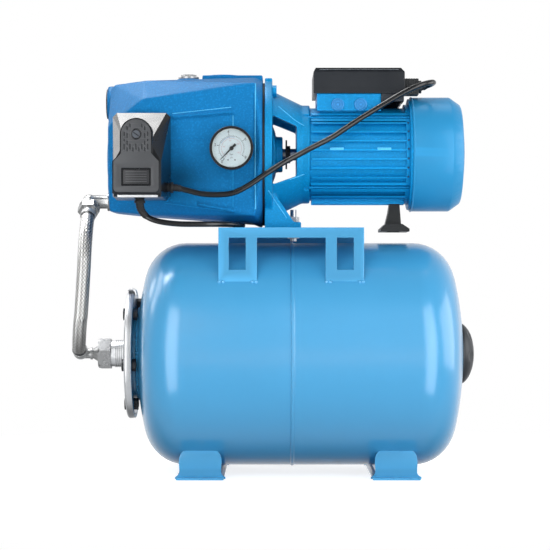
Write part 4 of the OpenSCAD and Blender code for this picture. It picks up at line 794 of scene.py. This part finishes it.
def cut_plate(name, outline, holes, y, thick, material, soft=0.25):
    """A thin plate with holes: a filled flat curve, pushed out and stood up in X and Z."""
    curve = bpy.data.curves.new(name, "CURVE")
    curve.dimensions = "2D"
    curve.fill_mode = "BOTH"
    curve.extrude = (thick / 2 - soft) * MM
    curve.bevel_depth = soft * MM
    curve.bevel_resolution = 1
    curve.offset = -soft * MM
    for line in [outline] + holes:
        sp = curve.splines.new("POLY")
        sp.points.add(len(line) - 1)
        for p, (x, z) in zip(sp.points, line):
            p.co = (x * MM, z * MM, 0, 1)
        sp.use_cyclic_u = True
    mesh = curve_mesh(curve)
    place = Matrix.Translation((0, (y + thick / 2) * MM, 0))
    mesh.transform(place @ Matrix.Rotation(radians(90), 4, "X"))
    bm = bmesh.new()
    bm.from_mesh(mesh)
    bpy.data.meshes.remove(mesh)
    bmesh.ops.remove_doubles(bm, verts=bm.verts, dist=0.000005)
    put(name, bm, material, "base", 35)


def rounded(x0, z0, x1, z1, r, n=6):
    return (arc(x0 + r, z0 + r, r, 180, 270, n) + arc(x1 - r, z0 + r, r, 270, 360, n)
            + arc(x1 - r, z1 - r, r, 0, 90, n) + arc(x0 + r, z1 - r, r, 90, 180, n))


def face_line(inset, low_r=5.0):
    """The panel's outline: a round head on a wider foot with rounded lower corners."""
    r, w = 19.2 - inset, 28.2 - inset
    low, shoulder = SZ - 47 + inset, SZ - 8.6 - inset * 0.4
    return (arc(PX, SZ + HEAD, r, 0, 180, 32) + [(PX - r, SZ + 0.4), (PX - w, shoulder)]
            + arc(PX - w + low_r, low + low_r, low_r, 180, 270, 6)
            + arc(PX + w - low_r, low + low_r, low_r, 270, 360, 6)
            + [(PX + w, shoulder), (PX + r, SZ + 0.4)])


slots = []
for k in range(-4, 5):
    dx = k * SLOT_STEP
    top = HEAD + sqrt(HEAD_R ** 2 - dx ** 2)
    for z0, z1 in ODD_SLOTS if k % 2 else EVEN_SLOTS:
        near = min(hypot(dx, z - HEAD) for z in (z0, z1, (z0 + z1) / 2))
        if z1 <= top and near > SEAT_R:
            slots.append(rounded(PX + dx - SLOT_W, SZ + z0, PX + dx + SLOT_W, SZ + z1, 0.54, 3))
seat = arc(PX, SZ + HEAD, 5.6, 0, 345, 23)
field = rounded(SX - 20.2, SZ - 38.2, SX + 15.2, SZ - 16.8, 1.6)
cut_plate("switch_panel_face", face_line(1.5), [seat, field] + slots, SY - 0.35, 0.7, PANEL)
cut_plate("switch_recess_card", rounded(SX - 17.6, SZ - 35.8, SX + 12.6, SZ - 19.2, 1.0), [],
          SY + 0.55, 0.6, RECESS, 0.15)
turned("switch_screw_ring", SWITCH, [((PX, SY, SZ + HEAD), FRONT, [
    (5.3, -0.4), (5.6, 0.25), (6.2, 0.5), (6.9, 0.3), (7.1, -0.4)], 48)])
blocks("switch_recess_ribs", PANEL, [
    ((SX - 15.0, SY + 0.4, SZ - 33.4 + 2.9 * k), (SX + 10.0, SY + 0.7, SZ - 32.7 + 2.9 * k), 0.1)
    for k in range(5)])
# A pale bar along the cover's lower edge: painted highlight.
blocks("switch_lower_highlight", HIGHLIGHT_BAR, [
    ((SX - 25, SY + 1.2, SZ - 51.6), (SX + 23.5, SY + 6, SZ - 48.6), 1.4)])

# Bend reliefs on the cables' ends


def first_part(line, length):
    out, d = [line[0]], 0
    for a, b in zip(line, line[1:]):
        d += (b - a).length
        out.append(b)
        if d >= length * MM:
            break
    return out


def relief(name, line, length, r0, r1, rings, material):
    """A tapered sleeve over the first part of a cord, with its rings moulded on."""
    high, share, end = 0.35, 0.55, 0.93

    def radius(t):
        on_ring = (t * rings) % 1 < share and t < end
        return (r0 + (r1 - r0) * t + (high if on_ring else 0.0)) * MM

    part = first_part(line, length)
    fine = [a.lerp(b, k / 8) for a, b in zip(part, part[1:]) for k in range(8)]
    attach(tube(name, fine + [part[-1]], radius, 24, material), "base")


relief("mains_relief", mains_line, 27, 5.4, 3.75, 9, RUBBER)
relief("link_relief", link_line, 16, 4.7, 3.65, 5, RUBBER)
relief("motor_gland_relief", link_line[::-1], 15, 5.4, 3.8, 4, BLACK)
relief("plug_relief", mains_line[::-1], 27, 5.1, 3.75, 9, RUBBER)

# Terminal box and lid: plug rings, seams, lip, painted highlights along the lid's edges, screw
# wells; ribs on the gland

PLUG_RINGS = (([(7.6, -0.3), (7.5, 0.35), (6.6, 0.5), (6.1, 0.0)], 40),
              ([(4.4, -0.1), (4.2, 0.45), (3.4, 0.45), (3.1, -0.1)], 32),
              ([(1.4, -0.1), (1.3, 0.4), (0, 0.5)], 24))
turned("box_plug_rings", PLUGS, [((x, -47.2, 461), FRONT, profile, seg)
                                 for x in (49.6, 78.1) for profile, seg in PLUG_RINGS])
blocks("box_seams", BOX, [((24.2, -45.5, 472.2), (103, -44.4, 473.6), 0.3),
                          ((24.2, -45.5, 453.6), (103, -44.4, 455.2), 0.3)])
blocks("lid_lip", LID, [((21.2, -48.0, 475.3), (131, -47.1, 476.5), 0.35)])
# Paler lines along the lid's top and right edges: painted highlights.
strip("lid_top_line", [(27, -47.9, 504.2), (60, -48.0, 504.6), (95, -48.0, 504.6),
                       (125, -47.9, 504.2)], 0.00045, LID_HIGHLIGHT)
strip("lid_right_line", [(131.9, -46.6, 503), (132.1, -46.9, 495), (132.1, -46.9, 484),
                         (131.9, -46.6, 477)], 0.0004, LID_HIGHLIGHT)
turned("lid_screw_wells", LID, [
    ((x, y, 506.0), UP, [(4.6, 0.2), (4.5, 0.75), (3.9, 0.9), (3.6, 0.4), (0, 0.35)], 28)
    for x, y in ((28, -38), (122, -38), (28, 38), (122, 38))])
blocks("gland_ribs", BLACK, [box for k in range(5) for box in (
    ((135.5 + 3.1 * k, -36.5, 474.6), (136.8 + 3.1 * k, -35.7, 494.0), 0.25),
    ((135.5 + 3.1 * k, -34.5, 494.4), (136.8 + 3.1 * k, -15.5, 494.9), 0.2))])

# Motor: the fan cover's rolled rim, dark discs as painted shade in the pockets at the fins' rear
# ends, paler plates on the lugs' faces as painted highlights

COVER_X, FINS_X, FIN_R = 142.0, 136.6, 63.4  # the cover's edge, the fins' ends and their circle
turned("fan_cover_rim", COVER, [((COVER_X, 0, SHAFT_Z), RIGHT, [
    (72.0, 0.1), (72.7, 0.5), (72.8, 1.4), (72.0, 2.2)], 128)])
# Dark discs at the fins' rear ends: painted shade in the pockets.
bm = bmesh.new()
for z in (-31, -20, -9, 3, 14, 25, 36):
    out = Vector((0, -sqrt(FIN_R ** 2 - z * z), z)).normalized()
    at = Vector((FINS_X, 0, SHAFT_Z)) + out * 62.6
    turn(bm, at, out, [(1.4, 0.6), (1.2, 0.75), (0, 0.5)], 16)
put("housing_pocket_shades", bm, POCKET_SHADE)
# Paler plates on the lugs: painted highlights.
blocks("housing_lug_highlights", HIGHLIGHT_ENAMEL, [
    ((x + 0.1, -64.4, SHAFT_Z + 1.2), (x + 16.9, -63.6, SHAFT_Z + 4.4), 0.3) for x in (39.4, 97.9)])

# The castings' lines, laid on their skin: the parting line in the casting's own enamel, and painted
# highlights in paler enamel along steps, ribs, the flange's fillets and the lantern's arms

RAY_FROM = -0.4  # metres in Y, in front of everything
SKIN_STEP, SKIN_LEAST = 2.5, 0.4  # between rays, and between the points that are kept


def on_skin(node, x, z):
    ob = NODES[node]
    inv = ob.matrix_world.inverted()
    start, way = inv @ Vector((x * MM, RAY_FROM, z * MM)), inv.to_3x3() @ Vector((0, 1, 0))
    hit, at, _, _ = ob.ray_cast(start, way)
    return (ob.matrix_world @ at) / MM if hit else None


def skin_line(node, name, points, radius, material, lift):
    """A thin tube on a node's front skin, lifted off it; a running median evens out its depth."""
    line = []
    for (x0, z0), (x1, z1) in zip(points, points[1:]):
        n = max(2, int(hypot(x1 - x0, z1 - z0) / SKIN_STEP))
        for k in range(n + 1):
            p = on_skin(node, x0 + (x1 - x0) * k / n, z0 + (z1 - z0) * k / n)
            if p is not None and (not line or (Vector(line[-1]) - p).length > SKIN_LEAST):
                line.append((p.x, p.y - lift, p.z))
    if len(line) < 3:
        return
    ys = [p[1] for p in line]
    near = [sorted(ys[max(0, i - 2):i + 3]) for i in range(len(ys))]
    path = [Vector((x, y[len(y) // 2], z)) * MM for (x, _, z), y in zip(line, near)]
    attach(tube(name, path, radius * MM, 8, material, Vector((0.1, 1, 0.1))), "base")


# Lines in the highlight enamel or the box's enamel are painted highlights; the parting line is not.
for node, lines in (("pump_casing", (
        ("casing_parting_line", [(-160, 415.0), (-107, 415.6)], 0.35, CAST, 0.0),
        ("casing_step_line", [(-79.6, 446), (-79.6, 428)], 0.55, HIGHLIGHT_ENAMEL, -0.2),
        ("casing_step_line_low", [(-79.6, 377), (-79.6, 328)], 0.5, BOX, -0.2),
        ("casing_rib_line", [(-154, 447.2), (-82, 454.6)], 0.5, HIGHLIGHT_ENAMEL, -0.15),
        ("casing_low_rib_line", [(-164, 338), (-84, 327)], 0.4, BOX, -0.15),
        ("casing_flange_highlight", [(-52.2, 484), (-52.2, 330)], 0.8, HIGHLIGHT_ENAMEL, -0.35))),
    ("lantern_bracket", (
        ("lantern_arm_line", [(-24, 458), (-4, 441), (8, 434)], 0.6, HIGHLIGHT_ENAMEL, -0.1),
        ("lantern_low_arm_line", [(-14, 366), (8, 374)], 0.6, HIGHLIGHT_ENAMEL, -0.1),
        ("lantern_web_line", [(-39, 357), (-14, 320)], 0.6, HIGHLIGHT_ENAMEL, -0.1)))):
    for line in lines:
        skin_line(node, *line)

# Tank: tack welds at the bracket's corners, weld beads on the feet, bead round the neck, zinc tab

CHEEK_Y, BRACKET_FOOT_Z = 106.4, 241.2
FEET_X, FOOT_WELD_Y, FOOT_WELD_Z = (-119.8, 119.8), 76.4, 33.6
FOOT_HALF = [(31, 0.05), (31, 2.4), (25.6, 5.4), (24.6, 8.5), (25.7, 14), (26.2, 20), (25.8, 25.5),
             (24.4, 30.0), (21.8, 33.4), (18.3, 35.4), (9, 36.2), (0, 36.5)]
NECK_X, NECK_R, NECK_LUMPS = -199.6, 57.0, 120

bm = bmesh.new()
for x in (-95.5, -91, -56, -51.3, 34, 38.5, 74, 78.2):
    for side in (-1, 1):
        lump(bm, (x, side * CHEEK_Y, BRACKET_FOOT_Z), (2.3, 1.8, 2.4))
for x in FEET_X:
    for side in (-1, 1):
        for k in range(13):
            wave = 0.5 * sin(k * 2.1)
            lump(bm, (x - 15 + 2.5 * k, side * FOOT_WELD_Y, FOOT_WELD_Z + wave), (2.1, 2.1, 1.7), 8)
put("tack_welds", bm, TANK)
bm = bmesh.new()
for x in FEET_X:
    outline = [(x + a, z) for a, z in FOOT_HALF] + [(x - a, z) for a, z in FOOT_HALF[-2::-1]]
    for y0, y1 in ((-79.3, -77.0), (79.3, 77.0)):
        plate(bm, outline, y0, y1, 0.9)
put("foot_faces", bm, BRACKET)
bm = bmesh.new()
for k in range(NECK_LUMPS):
    a = tau * k / NECK_LUMPS
    lump(bm, (NECK_X, NECK_R * cos(a), TANK_Z + NECK_R * sin(a)), (2.0, 2.1, 2.1), 8)
put("neck_weld", bm, TANK)
tab = [(-213.6, 229.6), (-213, 231.6), (-210.5, 233), (-206.5, 233), (-203.6, 231.2),
       (-202.2, 228), (-201.6, 223.6), (-202.9, 223.3), (-203.5, 227.4), (-204.8, 230),
       (-207.2, 231.5), (-210.2, 231.5), (-211.8, 230.6), (-212.2, 229.4)]
bm = bmesh.new()
plate(bm, tab, -27, -13)
put("flange_tab", bm, ZINC)

# Air valve's cover: a moulded dome with six finger dimples, hollow, on the cover's own body

CAP_R, CAP_WALL, CAP_INNER = 38.4, 2.2, 0.943  # the last is the inside's share of the radius
CAP_LINE = [(0, 16.4), (6, 16.3), (12, 15.8), (19, 14.3), (25, 12.3), (30.5, 9.4), (34.5, 6.2),
            (37.2, 3.2), (CAP_R, 1.2)]
CAP_SIDES, CAP_RINGS = 144, 40
DIMPLES, DIMPLE_AT, DIMPLE_R, DIMPLE_DEEP = 6, 26.5, 8.2, 2.3


def cap_height(r, angle):
    h = CAP_LINE[-1][1]
    for (r0, h0), (r1, h1) in zip(CAP_LINE, CAP_LINE[1:]):
        if r <= r1:
            h = h0 + (h1 - h0) * (r - r0) / (r1 - r0)
            break
    for k in range(DIMPLES):
        a = radians(360 / DIMPLES * k - 4)
        d = hypot(r * cos(angle) - DIMPLE_AT * cos(a), r * sin(angle) - DIMPLE_AT * sin(a))
        h -= DIMPLE_DEEP * max(0.0, 1 - (d / DIMPLE_R) ** 2) ** 1.3
    return h


def cap_dome():
    cap = NODES["air_valve_cap"]
    lo = (cap.matrix_world @ Vector(cap.bound_box[0])).x / MM
    bm = bmesh.new()
    angles = [tau * k / CAP_SIDES for k in range(CAP_SIDES)]

    def ring(r, heights):
        return [bm.verts.new(Vector((lo + h, -r * cos(a), TANK_Z + r * sin(a))) * MM)
                for a, h in zip(angles, heights)]

    def bridge(p, q):
        for k in range(CAP_SIDES):
            n = (k + 1) % CAP_SIDES
            bm.faces.new((p[0], q[k], q[n]) if len(p) == 1 else (p[k], q[k], q[n], p[n]))

    rims = []
    for drop, shrink, lowest in ((0.0, 1.0, 0.0), (CAP_WALL, CAP_INNER, 0.25)):
        rings = []
        for i in range(CAP_RINGS + 1):
            r = CAP_R * (i / CAP_RINGS) ** 0.85
            heights = [max(cap_height(r, a) - drop, lowest) for a in (angles if i else angles[:1])]
            rings.append(ring(r * shrink, heights))
        for p, q in zip(rings, rings[1:]):
            bridge(p, q)
        rims.append(rings[-1])
    foot = [ring(r, [0.0] * CAP_SIDES) for r in (CAP_R, CAP_R * CAP_INNER)]
    bridge(rims[0], foot[0])
    bridge(foot[0], foot[1])
    bridge(foot[1], rims[1])
    turn(bm, (lo + 3.5, 0, TANK_Z), RIGHT, [(7.2, 0), (8.5, 0), (8.5, 10.8), (7.2, 10.8)], 48, True)
    ob = put("valve_cap_dome", bm, CAP, "valve_cap", 38)
    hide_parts("air_valve_cap")


cap_dome()

# Pipework: dark rings at the hose's ends, threads in the open ports, machined port faces

for name, line in (("hose_lower_ring", hose_line[24:30]),
                   ("hose_upper_ring", hose_line[::-1][7:13])):
    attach(tube(name, line, HOSE_R + 0.00035, 48, BLACKENED), "base")
DELIVERY_X, SUCTION_Z = -93.6, 466
thread = [point for k in range(9) for point in ((15.05, 1.0 + 2.3 * k), (14.35, 2.15 + 2.3 * k))]
thread += [(15.05, 21.7), (16.2, 21.7), (16.2, 0.9)]
turned("port_threads", IRON, [((DELIVERY_X, 0, 501), DOWN, thread, 64, True),
                              ((-239.0, 0, SUCTION_Z), RIGHT, thread, 64, True)], smooth=20)
turned("port_faces", CAST, [
    ((DELIVERY_X, 0, 500.0), UP, [
        (15.1, 0), (15.1, 0.5), (15.8, 1.0), (22.6, 1.0), (23.4, 0.3), (23.4, 0)], 72, True),
    ((-238.2, 0, SUCTION_Z), LEFT, [
        (15.1, 0), (15.1, 0.3), (15.8, 0.75), (21.3, 0.75), (22.0, 0.2), (22.0, 0)], 72, True)],
       smooth=20)

# Mains plug and coil: brass pins, grip rings, the two bands that hold the coil

PLUG_Y, PLUG_Z = 112, 19.5
turned("plug_pins", BRASS, [
    ((-148, PLUG_Y + y, PLUG_Z), LEFT, [(2.45, 0.0), (2.45, 18.0), (2.1, 18.9), (0, 19.04)], 24)
    for y in (-9.5, 9.5)])
turned("plug_grip", RUBBER, [
    ((-140.5 + 4 * k, PLUG_Y, PLUG_Z), RIGHT, [
        (r - 0.6, -1.0), (r + 0.5, -0.5), (r + 0.4, 0.4), (r - 0.9, 1.1)], 48)
    for k, r in enumerate(17.6 - 1.26 * k for k in range(5))])
BAND_MIDDLE, BAND_HALF_WIDTH = 12.3, 3.2
BAND = [(33.7, 0.5), (34.6, 0.08), (41.4, 0.08), (42.3, 0.8), (42.5, 12), (42.3, 23.8),
        (41.4, 24.6), (34.6, 24.6), (33.7, 23.8), (33.5, 12)]
bm = bmesh.new()
for degrees in (60, 120):
    a = radians(degrees)
    d, s = Vector((cos(a), sin(a), 0)), Vector((-sin(a), cos(a), 0))
    rings = []
    for w in (-BAND_HALF_WIDTH, BAND_HALF_WIDTH):
        for grow in (0.0, -0.7):
            rings.append([bm.verts.new((
                Vector((COIL_X, COIL_Y, 0)) + d * (COIL_R + (r - COIL_R) * (1 + grow / 5)) + s * w
                + Vector((0, 0, BAND_MIDDLE + (z - BAND_MIDDLE) * (1 + grow / 14)))) * MM)
                for r, z in BAND])
    lo, lo_in, hi, hi_in = rings
    for k in range(len(BAND)):
        j = (k + 1) % len(BAND)
        bm.faces.new((lo[k], lo[j], hi[j], hi[k]))
        bm.faces.new((lo_in[k], hi_in[k], hi_in[j], lo_in[j]))
        bm.faces.new((lo[k], lo_in[k], lo_in[j], lo[j]))
        bm.faces.new((hi[k], hi[j], hi_in[j], hi_in[k]))
put("coil_bands", bm, BLACK)


# Floor and light

def floor():
    """Grey to the light that falls on it, white to the camera, and white further off."""
    bpy.ops.mesh.primitive_plane_add(size=1, location=(0, -0.9, -0.0004))
    ob = bpy.context.object
    ob.name = "floor"
    ob.scale = (7, 4.6, 1)
    m = bpy.data.materials.new("floor_white")
    m.use_nodes = True
    g = Graph(m.node_tree)
    g.t.nodes.remove(g.t.nodes["Principled BSDF"])
    matt = g.node("BsdfDiffuse")
    matt.inputs[0].default_value = (0.5, 0.5, 0.5, 1)
    glow = g.node("Emission")
    g.link(g.times(g.seen(), 0.8), glow.inputs["Strength"])
    near = g.node("AddShader")
    g.fill(near.inputs, matt.outputs[0], glow.outputs[0])
    far = g.node("Emission")
    flat = g.node("VectorMath", operation="MULTIPLY")
    g.fill(flat.inputs, g.node("NewGeometry").outputs["Position"], (0.75, 1.0, 0.0))
    away = g.node("VectorMath", operation="LENGTH")
    g.link(flat.outputs[0], away.inputs[0])
    fade = g.span(away.outputs["Value"], 0.22, 0.62, kind="SMOOTHSTEP")
    mixed = g.blend(fade, near.outputs[0], far.outputs[0])
    g.link(mixed, g.t.nodes["Material Output"].inputs[0])
    ob.data.materials.append(m)
    ob.visible_glossy = False


def studio():
    """White to the camera, even to diffuse light; reflections see a room that is darker in front,
    dims upwards, and glows low down in front as a pale floor does."""
    world = bpy.data.worlds.new("studio")
    scene.world = world
    world.use_nodes = True
    g = Graph(world.node_tree)

    def light(node, color, strength):
        g.fill(node.inputs, color, strength)
        return node.outputs[0]

    split = g.node("SeparateXYZ")
    g.link(g.node("TexCoord").outputs["Generated"], split.inputs[0])
    back = g.span(split.outputs[1], -0.35, 0.45, kind="SMOOTHSTEP")
    strength = g.span(back, 0.0, 1.0, 0.34, 0.9)
    bounce = g.span(back, 0.0, 1.0, 2.4, 0.12)
    height = split.outputs[2]
    for level in (g.span(height, 0.25, 0.75, 1.0, 0.4), g.span(height, -0.8, -0.2, bounce, 1.0)):
        strength = g.times(strength, level)
    even = light(g.t.nodes["Background"], (0.96, 0.98, 1.0, 1), 0.6)
    room = light(g.node("Background"), (0.97, 0.98, 1.0, 1), strength)
    white = light(g.node("Background"), (1, 1, 1, 1), 1.0)
    mirror = g.blend(g.node("LightPath").outputs["Is Glossy Ray"], even, room)
    g.link(g.blend(g.seen(), mirror, white), g.t.nodes["World Output"].inputs[0])


def area(name, loc, target, size, power, sees="both"):
    d = bpy.data.lights.new(name, "AREA")
    d.shape = "RECTANGLE"
    d.size, d.size_y = size
    d.energy = power
    ob = bpy.data.objects.new(name, d)
    scene.collection.objects.link(ob)
    ob.location = loc
    ob.rotation_euler = (Vector(target) - Vector(loc)).to_track_quat("-Z", "Y").to_euler()
    ob.visible_glossy = sees != "diffuse"
    ob.visible_diffuse = sees != "gloss"
    ob.visible_camera = False


floor()
studio()
area("key", (-0.6, -2.1, 1.5), (0, 0, 0.28), (1.4, 1.2), 19.5, "diffuse")
area("fill", (1.3, -2.0, 0.5), (0, 0, 0.28), (1.2, 1.2), 8.5, "diffuse")
area("low_fill", (0.1, -1.5, 0.12), (0.1, 0, 0.4), (1.6, 0.2), 8.5, "diffuse")
area("top", (0.1, 0.5, 1.9), (0, 0, 0.3), (1.5, 0.6), 5)
area("gloss_left", (-1.2, -1.85, 0.45), (-0.1, 0, 0.3), (1.1, 3.6), 56, "gloss")
area("gloss_right", (1.25, -1.7, 0.45), (0.1, 0, 0.3), (1.0, 3.6), 51, "gloss")
area("gloss_top", (-0.69, 0.26, 1.6), (-0.3, 0, 0.4), (0.8, 0.7), 26, "gloss")
area("gloss_back_left", (-1.25, 0.42, 1.0), (-0.2, -0.1, 0.43), (0.7, 0.7), 6, "gloss")
area("side_right", (1.75, -0.1, 0.55), (0.1, 0, 0.3), (1.3, 1.3), 16)
area("rim_left", (-1.5, 1.3, 0.7), (-0.1, 0, 0.3), (0.7, 1.2), 11, "diffuse")
